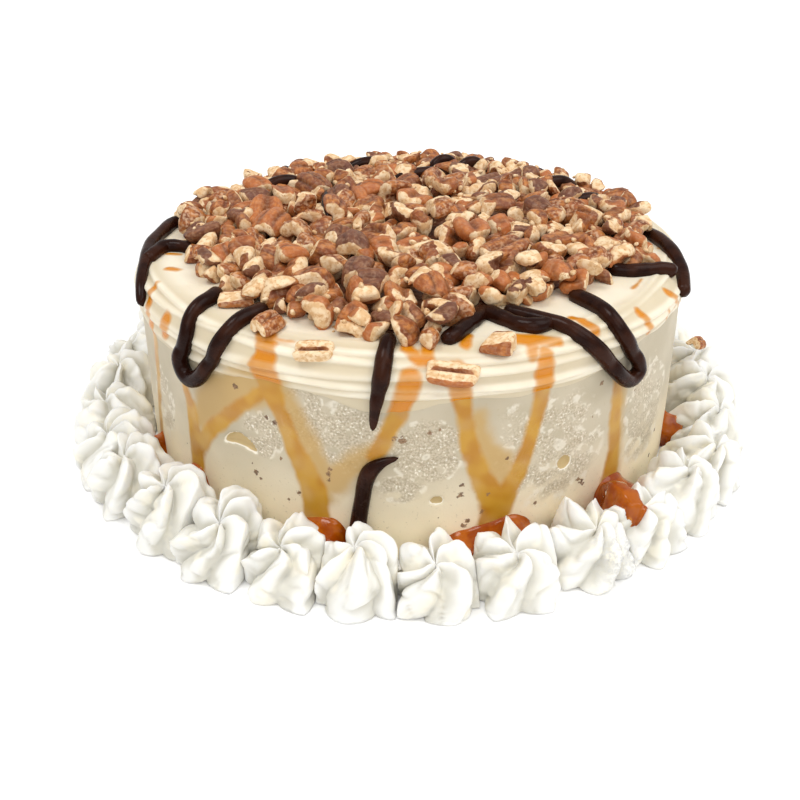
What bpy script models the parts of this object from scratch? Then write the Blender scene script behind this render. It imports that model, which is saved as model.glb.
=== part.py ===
"""Round ice cream cake: frosted top, poured fudge, chopped pecans and a border of piped cream stars.

Metres, +Z up. The origin is the middle of the ice cream's underside and the front is toward -Y.
"""
import math
import random

import bmesh
import bpy
from mathutils import Matrix, Vector

MM = 0.001
TURN = 2 * math.pi

# The cake's own size
BASE_RADIUS = 111.1 * MM
TOP_RADIUS = 109.3 * MM
CAKE_HEIGHT = 78.4 * MM
FROSTING_DEPTH = 18.1 * MM
SHOULDER_ROUND = 9.0 * MM
TOUCH_GAP = 0.3 * MM
CAKE_SEGMENTS = 64

# Runs along the skin, from the top's centre out over the shoulder and down the side
FLAT_RUN = TOP_RADIUS - SHOULDER_ROUND
SHOULDER_RUN = FLAT_RUN + SHOULDER_ROUND * math.pi / 2
FROSTING_RUN = SHOULDER_RUN + FROSTING_DEPTH - SHOULDER_ROUND

# Marks of the spatula round the frosting's side
RIDGE_ROWS = 7
RIDGE_DEPTH = 0.45 * MM

# Poured fudge: half sunk in the frosting, and standing off the ice cream where it hangs lower
FUDGE_RADIUS = 2.8 * MM
FUDGE_SIDES = 7
FUDGE_STEP = 5.4 * MM
FUDGE_LIFT = 1.2 * MM
FUDGE_STAND_OFF = 0.6 * MM
FUDGE_LEAVES_SKIN = (FROSTING_RUN - 7 * MM, FROSTING_RUN - 3 * MM)
FUDGE_CAP = 0.7

# Piped cream
STAR_COUNT = 31
STAR_FIRST_AZIMUTH = 238.8
STAR_RING_RADIUS = 128.6 * MM
STAR_RADIUS = 18.6 * MM
STAR_HEIGHT = 24.0 * MM
STAR_LOBES = 7
STAR_VALLEY = 0.73
STAR_TWIST = math.radians(26)
STAR_LEAN = 3.5 * MM
STAR_OUTLINE = ((0.0, 0.96), (0.15, 1.0), (0.42, 0.85), (0.74, 0.5))

# Chopped pecans, sizes in millimetres
PECAN_SIZES = ((22, 14, 10), (18, 13, 9.5), (15, 12, 9), (12, 10, 8))
PECAN_DRAW = (0, 1, 1, 2, 2, 2, 3)
PECAN_SIDES = 5
PECAN_COUNT = 104
PECAN_SINK = 2.0 * MM
PECAN_TILT = 0.3
HEAP_CORE_INSET = 8.0 * MM
HEAP_CORE_HEIGHT = 5.6 * MM
HEAP_CORE_SEGMENTS = 40
HEAP_CORE_OUTLINE = ((1.0, 0.0), (0.97, 0.35), (0.8, 0.8), (0.45, 1.0))
HEAP_CLEAR_OF_FUDGE = 9.0 * MM

# The pecan heap's edge on the frosting: azimuth in degrees, radius in millimetres
HEAP_EDGE = (
    (11, 101), (37, 100), (56, 101), (74, 102), (91, 101), (105, 101), (121, 98), (150, 93),
    (166, 101), (186, 90), (205, 91), (221, 90), (232, 92), (244, 95), (252, 96), (265, 102),
    (273, 104), (279, 94), (291, 83), (304, 87), (312, 86), (325, 89), (339, 97), (352, 96),
)

# Fudge ropes on the frosting: azimuth in degrees, run in millimetres
FUDGE_ROUTES = {
    "left_back": ((174, 88), (175, 98), (181, 100.5), (189, 103), (196, 104.5), (201, 107), (205, 110), (208, 114)),
    "left_front": ((195, 85), (192, 92), (191.5, 98), (195, 102), (197.5, 104.5)),
    "left_loop": (
        (223, 92), (225, 99), (226, 107), (226.5, 112), (225.5, 117), (225, 122), (226, 126), (228, 127),
        (230.5, 124), (233, 117.5), (234.5, 112), (236, 106), (236.8, 99), (237.5, 91),
    ),
    "front_drip": ((265.8, 99), (265.3, 106), (265, 111), (264.4, 117), (263.9, 123), (263.5, 130)),
    "front_right": ((288, 80), (284.5, 86), (280.5, 93), (277.5, 98.5), (275.4, 101.3)),
    "front_swag": ((287, 82), (289.7, 91), (291.6, 97), (294.3, 99.5), (297.4, 98.5)),
    "right_loop": (
        (310.7, 85), (310, 96), (309, 104), (309.3, 109), (311, 114), (313, 120), (313.8, 125), (311, 126.5),
        (307.5, 121), (305, 115), (302, 109.5), (299.8, 105), (297.6, 99), (294.5, 91), (291.5, 84),
    ),
    "right_back": ((7.6, 88), (2, 93), (355, 99), (348, 103), (342, 107), (337.5, 110), (334.5, 112)),
    "right_front": ((330, 84), (331, 91), (333.5, 97), (336, 102), (337.5, 106)),
    "back_right_loop": ((57, 90), (54, 101), (51, 110), (46, 115), (41, 111), (38, 102), (35, 90)),
    "back_left_loop": ((128, 87), (126, 100), (123, 112), (118, 121), (113, 114), (111, 103), (108, 91)),
}

# Ropes that thin toward a hanging end, with the share of their thickness left there
FUDGE_ENDS = {"front_drip": 0.45, "left_back": 0.75}

# The separate drip low on the ice cream
LOW_DRIP_ROUTE = ((267.6, 141.5), (265, 143.5), (262.9, 147), (261.9, 152), (261.6, 158), (261.3, 164))
LOW_DRIP_LIFT = 0.5 * MM
LOW_DRIP_TIP = 0.62

# Loose pecan pieces: azimuth in degrees, run in millimetres, yaw in degrees, size in millimetres
LOOSE_PECANS = (
    (229.8, 93.5, 25, (12.5, 8.5, 6.5)),
    (243.1, 101.5, 70, (14, 10, 7)),
    (253.0, 106.5, 5, (15, 8, 6)),
    (276.5, 111, 12, (18, 9.5, 7)),
    (284.6, 104.5, -15, (12.5, 7, 6)),
)
CREAM_PECAN_AZIMUTH = 1.0
CREAM_PECAN_RADIUS = 127.0 * MM
CREAM_PECAN_SIZE = (8, 7, 6)

# Mesh finishing
SMOOTH_ANGLE = math.radians(45)
WELD = 0.05 * MM
FLAT_ANGLE = math.radians(1.5)


def remove_objects():
    for obj in list(bpy.data.objects):
        bpy.data.objects.remove(obj, do_unlink=True)


def finish(name, colour, roughness):
    """Principled material with a plain colour."""
    material = bpy.data.materials.new(name)
    material.use_nodes = True
    shader = material.node_tree.nodes["Principled BSDF"]
    shader.inputs["Base Color"].default_value = (*colour, 1.0)
    shader.inputs["Roughness"].default_value = roughness
    shader.inputs["Metallic"].default_value = 0.0
    material.diffuse_color = (*colour, 1.0)
    return material


def shade(mesh):
    mesh.shade_smooth()
    mesh.set_sharp_from_angle(angle=SMOOTH_ANGLE)


def mesh_object(name, bm, material):
    """Object from a closed bmesh, its faces turned outward and its round stretches smooth."""
    bmesh.ops.recalc_face_normals(bm, faces=bm.faces)
    mesh = bpy.data.meshes.new(name)
    bm.to_mesh(mesh)
    bm.free()
    shade(mesh)
    obj = bpy.data.objects.new(name, mesh)
    bpy.context.scene.collection.objects.link(obj)
    mesh.materials.append(material)
    return obj


def polar(azimuth, radius, z=0.0):
    """Point from an azimuth in radians, a radius and a height."""
    return Vector((radius * math.cos(azimuth), radius * math.sin(azimuth), z))


def turn_between(first, second):
    """Signed turn from the first azimuth to the second, the short way round."""
    return (second - first + math.pi) % TURN - math.pi


def smooth_step(value, low, high):
    """0 below low, 1 above high, and an S between."""
    t = min(1.0, max(0.0, (value - low) / (high - low)))
    return t * t * (3 - 2 * t)


def side_radius(z):
    """Radius of the slightly tapered side at height z."""
    return BASE_RADIUS + (TOP_RADIUS - BASE_RADIUS) * z / (CAKE_HEIGHT - SHOULDER_ROUND)


def outline(run):
    """Radius, height and outward normal of the skin at a run."""
    if run <= FLAT_RUN:
        return run, CAKE_HEIGHT, (0.0, 1.0)
    if run <= SHOULDER_RUN:
        turn = (run - FLAT_RUN) / SHOULDER_ROUND
        radius = FLAT_RUN + SHOULDER_ROUND * math.sin(turn)
        return radius, CAKE_HEIGHT - SHOULDER_ROUND * (1 - math.cos(turn)), (math.sin(turn), math.cos(turn))
    z = CAKE_HEIGHT - SHOULDER_ROUND - (run - SHOULDER_RUN)
    return side_radius(z), z, (1.0, 0.0)


def skin_point(azimuth, run, lift=0.0):
    """Point on the cake's skin, or lifted off it along the skin's normal."""
    radius, z, (out, up) = outline(run)
    return polar(azimuth, radius + out * lift, z + up * lift)


def skin_normal(azimuth, run):
    out, up = outline(run)[2]
    return polar(azimuth, out, up)


def smooth_route(points, step):
    """Points at an even step along the Catmull-Rom curve through the given points."""
    ends = [points[0] * 2 - points[1], *points, points[-1] * 2 - points[-2]]
    fine = []
    for a, b, c, d in zip(ends, ends[1:], ends[2:], ends[3:]):
        for k in range(12):
            t = k / 12
            bend = 2 * a - 5 * b + 4 * c - d
            twist = 3 * b - a - 3 * c + d
            fine.append(0.5 * (2 * b + (c - a) * t + bend * t * t + twist * t ** 3))
    fine.append(points[-1].copy())
    length = sum((b - a).length for a, b in zip(fine, fine[1:]))
    wanted = length / max(2, round(length / step))
    even, walked = [fine[0]], 0.0
    for a, b in zip(fine, fine[1:]):
        walked += (b - a).length
        if walked >= wanted:
            even.append(b)
            walked -= wanted
    if (even[-1] - fine[-1]).length < wanted / 2:
        even.pop()
    return even + [fine[-1]]


def bridge(bm, low, high):
    """Quads between two rings of vertices."""
    count = len(low)
    for k in range(count):
        j = (k + 1) % count
        bm.faces.new((low[k], low[j], high[j], high[k]))


def lathe(rows, segments):
    """Closed bmesh from rows of radius and height functions, bottom row first, with flat ends."""
    bm = bmesh.new()
    angles = [TURN * k / segments for k in range(segments)]
    rings = [
        [bm.verts.new(polar(a, radius_at(a), height_at(a))) for a in angles]
        for radius_at, height_at in rows
    ]
    for low, high in zip(rings, rings[1:]):
        bridge(bm, low, high)
    bm.faces.new(rings[0])
    bm.faces.new(rings[-1])
    return bm


def tube(points, radii):
    """Closed tube through the points, with a short rounded cap at each end."""
    bm = bmesh.new()
    side = None
    rings = []
    for k, point in enumerate(points):
        along = (points[min(k + 1, len(points) - 1)] - points[max(k - 1, 0)]).normalized()
        if side is None:
            side = along.orthogonal()
        side = (side - along * side.dot(along)).normalized()
        up = along.cross(side)
        turns = [TURN * i / FUDGE_SIDES for i in range(FUDGE_SIDES)]
        rings.append([bm.verts.new(point + (side * math.cos(a) + up * math.sin(a)) * radii[k]) for a in turns])
    for low, high in zip(rings, rings[1:]):
        bridge(bm, low, high)
    for ring, end, beside in ((rings[0], 0, 1), (rings[-1], -1, -2)):
        outward = (points[end] - points[beside]).normalized()
        tip = bm.verts.new(points[end] + outward * radii[end] * FUDGE_CAP)
        for i in range(FUDGE_SIDES):
            bm.faces.new((ring[i], ring[(i + 1) % FUDGE_SIDES], tip))
    return bm


def largest_piece(bm):
    """Keeps the connected piece with the most faces and deletes loose scraps."""
    unseen = set(bm.faces)
    best = set()
    while unseen:
        waiting = [unseen.pop()]
        piece = set(waiting)
        while waiting:
            beside = {other for edge in waiting.pop().edges for other in edge.link_faces} & unseen
            unseen -= beside
            piece |= beside
            waiting.extend(beside)
        best = max(best, piece, key=len)
    bmesh.ops.delete(bm, geom=[f for f in bm.faces if f not in best], context="FACES")


def fuse(base, parts, material):
    """Joins closed bmeshes onto the base object with one Boolean union, which is applied."""
    group = bpy.data.collections.new(base.name + "_fused")
    bpy.context.scene.collection.children.link(group)
    for k, bm in enumerate(parts):
        part = mesh_object("{}_fused_{}".format(base.name, k), bm, material)
        bpy.context.scene.collection.objects.unlink(part)
        group.objects.link(part)
    union = base.modifiers.new("fuse", "BOOLEAN")
    union.operation = "UNION"
    union.operand_type = "COLLECTION"
    union.collection = group
    union.solver = "MANIFOLD"
    evaluated = base.evaluated_get(bpy.context.evaluated_depsgraph_get())
    joined = bpy.data.meshes.new_from_object(evaluated)
    base.modifiers.clear()
    base.data = joined
    for part in list(group.objects):
        bpy.data.objects.remove(part, do_unlink=True)
    bpy.data.collections.remove(group)
    bm = bmesh.new()
    bm.from_mesh(joined)
    bmesh.ops.remove_doubles(bm, verts=bm.verts, dist=WELD)
    bmesh.ops.dissolve_limit(bm, angle_limit=FLAT_ANGLE, verts=bm.verts, edges=bm.edges)
    bmesh.ops.triangulate(bm, faces=bm.faces)
    largest_piece(bm)
    bm.to_mesh(joined)
    bm.free()
    shade(joined)


def fudge_lift(run, radius):
    """Height of a rope's middle over the skin."""
    off = smooth_step(run, *FUDGE_LEAVES_SKIN)
    return FUDGE_LIFT * radius / FUDGE_RADIUS * (1 - off) + (radius + FUDGE_STAND_OFF) * off


def fudge_places(route):
    """Evenly spaced azimuths in radians and runs in metres along a route."""
    rolled_out = []
    azimuth = math.radians(route[0][0])
    for degrees, run in route:
        azimuth += turn_between(azimuth, math.radians(degrees))
        rolled_out.append(Vector((azimuth * TOP_RADIUS, run * MM)))
    return [(point.x / TOP_RADIUS, point.y) for point in smooth_route(rolled_out, FUDGE_STEP)]


def fudge_rope(name, route):
    """Bmesh of one fudge rope, thinner toward a hanging end."""
    places = fudge_places(route)
    end_share = FUDGE_ENDS.get(name, 1.0)
    points, radii = [], []
    for k, (azimuth, run) in enumerate(places):
        share = smooth_step(k / (len(places) - 1), 0.45, 1.0)
        radius = FUDGE_RADIUS * (1 + (end_share - 1) * share)
        points.append(skin_point(azimuth, run, fudge_lift(run, radius)))
        radii.append(radius)
    return tube(points, radii)


def build_ice_cream(ice_cream, fudge):
    """The ice cream drum, with the low drip fused to its side."""
    top = CAKE_HEIGHT - FROSTING_DEPTH - TOUCH_GAP
    rows = [(lambda a, z=z: side_radius(z), lambda a, z=z: z) for z in (0.0, top / 2, top)]
    drum = mesh_object("ice_cream", lathe(rows, CAKE_SEGMENTS), ice_cream)
    drum.data.materials.append(fudge)
    places = fudge_places(LOW_DRIP_ROUTE)
    points = [skin_point(azimuth, run, LOW_DRIP_LIFT) for azimuth, run in places]
    radii = [FUDGE_RADIUS * (LOW_DRIP_TIP + (1 - LOW_DRIP_TIP) * smooth_step(k, 0, 4)) for k in range(len(points))]
    fuse(drum, [tube(points, radii)], fudge)


def ridge(azimuth, row):
    """Height of the spatula's marks, which wander a little round the cake."""
    wander = 0.35 * math.sin(3 * azimuth + row) + 0.2 * math.sin(7 * azimuth + 2.3 * row)
    return RIDGE_DEPTH * ((1 if row % 2 else -1) + wander)


def build_frosting(frosting, fudge):
    """The frosting, flat where it meets the ice cream and ridged at its side, with the fudge ropes fused on."""
    top_run = FLAT_RUN + 2 * MM
    rows = []
    for row in range(RIDGE_ROWS + 1):
        run = FROSTING_RUN + (top_run - FROSTING_RUN) * row / RIDGE_ROWS
        radius, z, (out, up) = outline(run)
        if row in (0, RIDGE_ROWS):
            out, up = 0.0, 0.0
        rows.append((
            lambda a, radius=radius, out=out, row=row: radius + out * ridge(a, row),
            lambda a, z=z, up=up, row=row: z + up * ridge(a, row),
        ))
    rows.append((lambda a: FLAT_RUN, lambda a: CAKE_HEIGHT))
    layer = mesh_object("frosting", lathe(rows, CAKE_SEGMENTS), frosting)
    layer.data.materials.append(fudge)
    fuse(layer, [fudge_rope(name, route) for name, route in FUDGE_ROUTES.items()], fudge)


def heap_radius(azimuth):
    """Radius of the pecan heap's edge, read between the named points."""
    degrees = math.degrees(azimuth) % 360
    first, last = HEAP_EDGE[0], HEAP_EDGE[-1]
    edge = [(last[0] - 360, last[1]), *HEAP_EDGE, (first[0] + 360, first[1])]
    low, high = next(pair for pair in zip(edge, edge[1:]) if pair[0][0] <= degrees <= pair[1][0])
    share = (degrees - low[0]) / (high[0] - low[0])
    return (low[1] + (high[1] - low[1]) * share) * MM


def fudge_tops():
    """Points along the top of every rope."""
    up = Vector((0, 0, FUDGE_RADIUS))
    return [
        skin_point(azimuth, run, fudge_lift(run, FUDGE_RADIUS)) + up
        for route in FUDGE_ROUTES.values()
        for azimuth, run in fudge_places(route)
    ]


def core_radius(azimuth, tops):
    """Edge of the heap's core: inside the heap's edge, and short of any rope near this azimuth."""
    edge = heap_radius(azimuth) - HEAP_CORE_INSET
    for top in tops:
        reach = math.hypot(top.x, top.y)
        aside = abs(turn_between(azimuth, math.atan2(top.y, top.x))) * reach
        if aside < HEAP_CLEAR_OF_FUDGE:
            edge = min(edge, reach - FUDGE_RADIUS - 2 * MM)
    return edge


def pecan(size, turn, rng):
    """Bmesh of one chopped piece, turned round its middle: a barrel with broken, uneven ends."""
    length, width, height = (value * MM for value in size)
    stations = (-0.5, 0.0, 0.5) if length > 12 * MM else (-0.5, 0.42)
    bm = bmesh.new()
    rings = []
    for station in stations:
        girth = 0.5 if station == 0.0 else rng.uniform(0.34, 0.44)
        skew = rng.uniform(-0.12, 0.12) * length
        ring = []
        for k in range(PECAN_SIDES):
            a = TURN * k / PECAN_SIDES
            swell = girth * rng.uniform(0.86, 1.12)
            corner = (length * station + skew * math.cos(a), width * swell * math.cos(a), height * swell * math.sin(a))
            ring.append(bm.verts.new(turn @ Vector(corner)))
        rings.append(ring)
    for low, high in zip(rings, rings[1:]):
        bridge(bm, low, high)
    bm.faces.new(rings[0])
    bm.faces.new(rings[-1])
    return bm


def tumble(yaw, tilt, roll):
    return Matrix.Rotation(yaw, 3, "Z") @ Matrix.Rotation(tilt, 3, "Y") @ Matrix.Rotation(roll, 3, "X")


def stand_on(bm, place, normal, gap):
    """Moves a piece so that its lowest point along the normal is a gap away from the place."""
    low = min(vert.co.dot(normal) for vert in bm.verts)
    bmesh.ops.translate(bm, verts=bm.verts, vec=place + normal * (gap - low))


def build_heap(nut):
    """The heap: a low core, with pieces laid over it by a sunflower spiral and fused on."""
    rng = random.Random(41)
    tops = fudge_tops()
    floor = CAKE_HEIGHT + TOUCH_GAP
    rows = [
        (lambda a, s=share: core_radius(a, tops) * s, lambda a, h=height: floor + HEAP_CORE_HEIGHT * h)
        for share, height in HEAP_CORE_OUTLINE
    ]
    core = mesh_object("pecan_heap", lathe(rows, HEAP_CORE_SEGMENTS), nut)
    golden_turn = math.pi * (3 - math.sqrt(5))
    pieces = []
    for k in range(PECAN_COUNT):
        azimuth = k * golden_turn + rng.uniform(-0.05, 0.05)
        size = PECAN_SIZES[rng.choice(PECAN_DRAW)]
        length = size[0] * MM
        radius = math.sqrt((k + 0.5) / PECAN_COUNT) * (heap_radius(azimuth) - 0.36 * length)
        middle = polar(azimuth, radius)
        core_edge = core_radius(azimuth, tops)
        on_core = 1 - smooth_step(radius, core_edge * 0.78, core_edge + 1 * MM)
        bottom = floor + max(0.0, HEAP_CORE_HEIGHT * on_core - PECAN_SINK)
        nearest = min(tops, key=lambda top: (top.xy - middle.xy).length)
        over_fudge = (nearest.xy - middle.xy).length < 0.55 * length + FUDGE_RADIUS + FUDGE_STEP / 2
        tilt = rng.uniform(-PECAN_TILT, PECAN_TILT) * (0.2 if over_fudge else 1.0)
        piece = pecan(size, tumble(rng.uniform(0, TURN), tilt, rng.uniform(0, TURN)), rng)
        if over_fudge:
            bottom = max(bottom, nearest.z + TOUCH_GAP)
        stand_on(piece, middle, Vector((0, 0, 1)), bottom)
        pieces.append(piece)
    fuse(core, pieces, nut)


def build_loose_pecans(nut, star_top):
    """The single pieces beside the heap and the one on the cream, each clear of what it lies on."""
    rng = random.Random(7)
    for k, (degrees, run, yaw, size) in enumerate(LOOSE_PECANS):
        azimuth = math.radians(degrees)
        normal = skin_normal(azimuth, run * MM)
        leaning = Vector((0, 0, 1)).rotation_difference(normal).to_matrix()
        piece = pecan(size, leaning @ tumble(math.radians(yaw), 0.0, 0.0), rng)
        stand_on(piece, skin_point(azimuth, run * MM), normal, TOUCH_GAP + RIDGE_DEPTH * 1.6)
        mesh_object("pecan_piece_{}".format(k + 1), piece, nut)
    piece = pecan(CREAM_PECAN_SIZE, tumble(0.6, 0.2, 0.4), rng)
    place = polar(math.radians(CREAM_PECAN_AZIMUTH), CREAM_PECAN_RADIUS, star_top)
    stand_on(piece, place, Vector((0, 0, 1)), TOUCH_GAP)
    mesh_object("pecan_piece_{}".format(len(LOOSE_PECANS) + 1), piece, nut)


def cut_flat(bm, point, outward):
    """Slices off what lies beyond a plane and closes the cut."""
    geometry = [*bm.verts, *bm.edges, *bm.faces]
    bmesh.ops.bisect_plane(bm, geom=geometry, dist=WELD / 5, plane_co=point, plane_no=outward, clear_outer=True)
    bmesh.ops.holes_fill(bm, edges=[edge for edge in bm.edges if edge.is_boundary], sides=0)


def star(radius, height, twist, lean, lobes):
    """Bmesh of one piped star round its own axis: uneven lobes that swirl in to a soft leaning tip."""
    count = STAR_LOBES * 2
    bm = bmesh.new()
    rings = []
    for z_share, r_share in STAR_OUTLINE:
        ring = []
        for k in range(count):
            reach = radius * r_share * (STAR_VALLEY if k % 2 else lobes[k // 2])
            place = polar(TURN * k / count + twist * z_share, reach, height * z_share) + lean * z_share ** 2
            ring.append(bm.verts.new(place))
        rings.append(ring)
    for low, high in zip(rings, rings[1:]):
        bridge(bm, low, high)
    tip = bm.verts.new(lean + Vector((0, 0, height)))
    for k in range(count):
        bm.faces.new((rings[-1][k], rings[-1][(k + 1) % count], tip))
    bm.faces.new(rings[0])
    return bm


def build_stars(cream):
    """The ring of stars, each trimmed where it meets its neighbours and the cake; returns the cream's top by the nut."""
    rng = random.Random(19)
    step = TURN / STAR_COUNT
    first = math.radians(STAR_FIRST_AZIMUTH)
    azimuths = [first + step * (k + rng.uniform(-0.1, 0.1)) for k in range(STAR_COUNT)]
    top_by_nut = 0.0
    for k, azimuth in enumerate(azimuths):
        radius = STAR_RADIUS * rng.uniform(0.94, 1.06)
        height = STAR_HEIGHT * rng.uniform(0.86, 1.12)
        lean = Vector((rng.uniform(-STAR_LEAN, STAR_LEAN), rng.uniform(-STAR_LEAN, STAR_LEAN), 0))
        lobes = [rng.uniform(0.9, 1.03) for _ in range(STAR_LOBES)]
        bm = star(radius, height, STAR_TWIST * rng.uniform(0.5, 1.4), lean, lobes)
        bmesh.ops.rotate(bm, verts=bm.verts, cent=(0, 0, 0), matrix=Matrix.Rotation(rng.uniform(0, TURN), 3, "Z"))
        bmesh.ops.translate(bm, verts=bm.verts, vec=polar(azimuth, STAR_RING_RADIUS + rng.uniform(-1, 1) * MM))
        for neighbour, side in ((azimuths[k - 1], -1), (azimuths[(k + 1) % STAR_COUNT], 1)):
            halfway = azimuth + turn_between(azimuth, neighbour) / 2
            outward = polar(halfway + side * math.pi / 2, 1.0)
            cut_flat(bm, -outward * TOUCH_GAP / 2, outward)
        cut_flat(bm, polar(azimuth, BASE_RADIUS + TOUCH_GAP), -polar(azimuth, 1.0))
        bmesh.ops.remove_doubles(bm, verts=bm.verts, dist=WELD)
        bmesh.ops.triangulate(bm, faces=bm.faces)
        mesh_object("cream_star_{:02d}".format(k + 1), bm, cream)
        if abs(turn_between(azimuth, math.radians(CREAM_PECAN_AZIMUTH))) < step:
            top_by_nut = max(top_by_nut, height)
    return top_by_nut


def main():
    remove_objects()
    ice_cream = finish("ice_cream", (0.72, 0.63, 0.48), 0.55)
    frosting = finish("frosting", (0.92, 0.86, 0.73), 0.5)
    fudge = finish("fudge", (0.020, 0.008, 0.006), 0.2)
    nut = finish("pecan", (0.36, 0.15, 0.06), 0.6)
    cream = finish("whipped_cream", (0.92, 0.91, 0.88), 0.45)
    build_ice_cream(ice_cream, fudge)
    build_frosting(frosting, fudge)
    build_heap(nut)
    star_top = build_stars(cream)
    build_loose_pecans(nut, star_top)


main()
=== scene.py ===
"""Looks of the round ice cream cake. Lengths are in millimetres until a mesh is made from them."""
import math
import random

import bmesh
import bpy
import numpy as np
from mathutils import Matrix, Vector, bvhtree, noise


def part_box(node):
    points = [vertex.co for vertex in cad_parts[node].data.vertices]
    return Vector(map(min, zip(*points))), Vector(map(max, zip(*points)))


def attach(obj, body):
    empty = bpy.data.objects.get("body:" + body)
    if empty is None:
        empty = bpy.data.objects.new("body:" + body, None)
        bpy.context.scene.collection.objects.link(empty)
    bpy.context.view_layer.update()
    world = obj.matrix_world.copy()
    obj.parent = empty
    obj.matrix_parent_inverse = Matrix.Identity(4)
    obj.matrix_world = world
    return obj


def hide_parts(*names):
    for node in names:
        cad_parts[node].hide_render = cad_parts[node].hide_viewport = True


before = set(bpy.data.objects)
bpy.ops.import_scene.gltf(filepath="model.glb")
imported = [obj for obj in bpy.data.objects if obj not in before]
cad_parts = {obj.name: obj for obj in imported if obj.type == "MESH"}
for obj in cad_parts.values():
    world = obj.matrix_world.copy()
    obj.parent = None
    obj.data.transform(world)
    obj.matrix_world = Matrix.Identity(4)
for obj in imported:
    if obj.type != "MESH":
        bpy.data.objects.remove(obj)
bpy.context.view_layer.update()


# The ice cream is a drum of vanilla, frozen hard in a round pan and pushed out of it. Its side is smooth
# where it lay against the pan, torn to a rough crumb where it stuck, and pocked by bubbles of air. Thin
# caramel ran down it, deep gold where it is thick and a pale tan film where it is thin.
MM = 0.001
TURN = 2 * math.pi
BASE_RADIUS = 111.1
TOP_RADIUS = 109.3
CAKE_HEIGHT = 78.4
SHOULDER_ROUND = 9.0
FLAT_RUN = TOP_RADIUS - SHOULDER_ROUND
SHOULDER_RUN = FLAT_RUN + SHOULDER_ROUND * math.pi / 2
FOOT_RUN = SHOULDER_RUN + CAKE_HEIGHT - SHOULDER_ROUND
CAKE_COLUMNS = 860
DRUM_TOP = 68.5
DRUM_ROW = 0.8
SIDE_WAVE = 0.16
SIDE_RIPPLE = 0.05
TORN_EDGE = 2.4
TORN_CRUMB = 0.55
TORN_SINK = 0.25
CARAMEL_THICK = 0.28
CARAMEL_THIN = 0.12
BACK_FLECKS = 46
BACK_AZIMUTHS = (-25, 200)
FLECK_RUNS = (127, 172)
FLECK_SIZES = (0.5, 1.6)
FAR_OUTSIDE = -9.0

# Runs of caramel: azimuth in degrees, run over the cake's skin from the top's centre, half width
SAUCE_LINES = (
    ((208.5, 105, 1.6), (210, 112, 2.4), (210.8, 126, 2.6), (209.6, 142, 2.4), (207.8, 155, 2.4),
     (206.5, 174, 3.0)),
    ((222.5, 128, 1.3), (222.7, 135, 2.2), (224, 140, 3.2), (224.6, 146, 4.0), (224.9, 153, 4.8),
     (224.8, 161, 4.6), (224.4, 168, 4.4), (224.2, 175, 5.0), (224.2, 181, 6.0)),
    ((244.5, 122, 2.8), (239.8, 129.5, 2.6), (236.5, 135, 3.0), (233.8, 140, 3.2), (230.5, 146, 3.4),
     (228, 152, 3.6), (226, 158, 3.4)),
    ((242.5, 101, 2.4), (243, 104, 3.6), (244, 107, 3.8), (244.3, 111, 4.2), (244, 114.5, 5.2),
     (244.6, 118, 5.4), (245.5, 124, 4.6), (246.2, 128.4, 3.4), (247, 131.4, 3.2), (247.8, 136.5, 3.4),
     (248.7, 141.7, 3.6), (250, 146.7, 4.2), (251.2, 151.8, 4.8), (252.4, 157.2, 5.2), (252.8, 163, 5.2),
     (252.8, 170, 5.0), (252.8, 180, 6.0)),
    ((269.6, 112.6, 3.6), (269.1, 117.3, 3.9), (268.1, 121.8, 3.2), (267.5, 125.8, 3.4), (266.5, 130.4, 3.2),
     (265.3, 134.6, 3.2), (264.3, 139.4, 3.0), (262.8, 142.5, 2.0)),
    ((277, 112.2, 4.4), (277.7, 116.4, 3.6), (278.3, 121.3, 3.2), (278.7, 127, 3.0), (279.3, 133, 3.2),
     (280, 139.6, 3.4), (281, 145.8, 3.8), (282.2, 152, 4.2), (284, 159, 5.0), (285, 165, 5.6),
     (284.5, 172, 6.0)),
    ((292.8, 109.5, 3.2), (292.6, 115, 3.6), (292.6, 120.6, 3.6), (292.3, 125.4, 3.2), (291.9, 130.2, 3.0),
     (291.2, 135.8, 3.0), (290.6, 141.5, 3.2), (289.7, 147.1, 3.6), (288.5, 152.7, 3.8), (287.2, 158, 4.0),
     (286, 166, 4.5)),
    ((310.2, 127, 2.8), (310.3, 134, 3.1), (310.7, 142, 3.2), (311.1, 151, 3.5), (311.2, 159, 3.8),
     (311, 166, 4.4), (310.1, 170, 4.6), (309, 175, 5.0), (309.5, 181, 6.0)),
    ((124, 117, 2.6), (123, 128, 3.6), (121, 142, 4.0), (123, 158, 4.4), (122, 178, 5.4)),
    ((101, 107, 3.4), (102, 118, 4.4), (99, 132, 4.0), (96, 147, 4.6), (95, 160, 5.4), (95, 178, 6.0)),
    ((86, 114, 3.2), (88, 128, 3.6), (91, 144, 4.0), (93.5, 156, 4.0)),
    ((64, 108, 3.0), (62, 122, 4.2), (58, 138, 4.2), (57, 156, 4.6), (58, 178, 5.6)),
    ((24, 110, 2.2), (25, 126, 3.0), (23, 143, 3.0), (25, 162, 3.2), (24, 180, 4.4)),
    ((160, 106, 2.2), (161, 120, 2.6), (164, 138, 2.6), (163, 158, 3.0), (165, 180, 4.0)),
    ((184, 112, 2.0), (185, 126, 2.2), (184, 141, 2.0), (185, 150, 1.2)),
    ((349, 110, 1.8), (350, 124, 2.4), (352, 140, 2.4), (351, 152, 1.4)),
)
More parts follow.
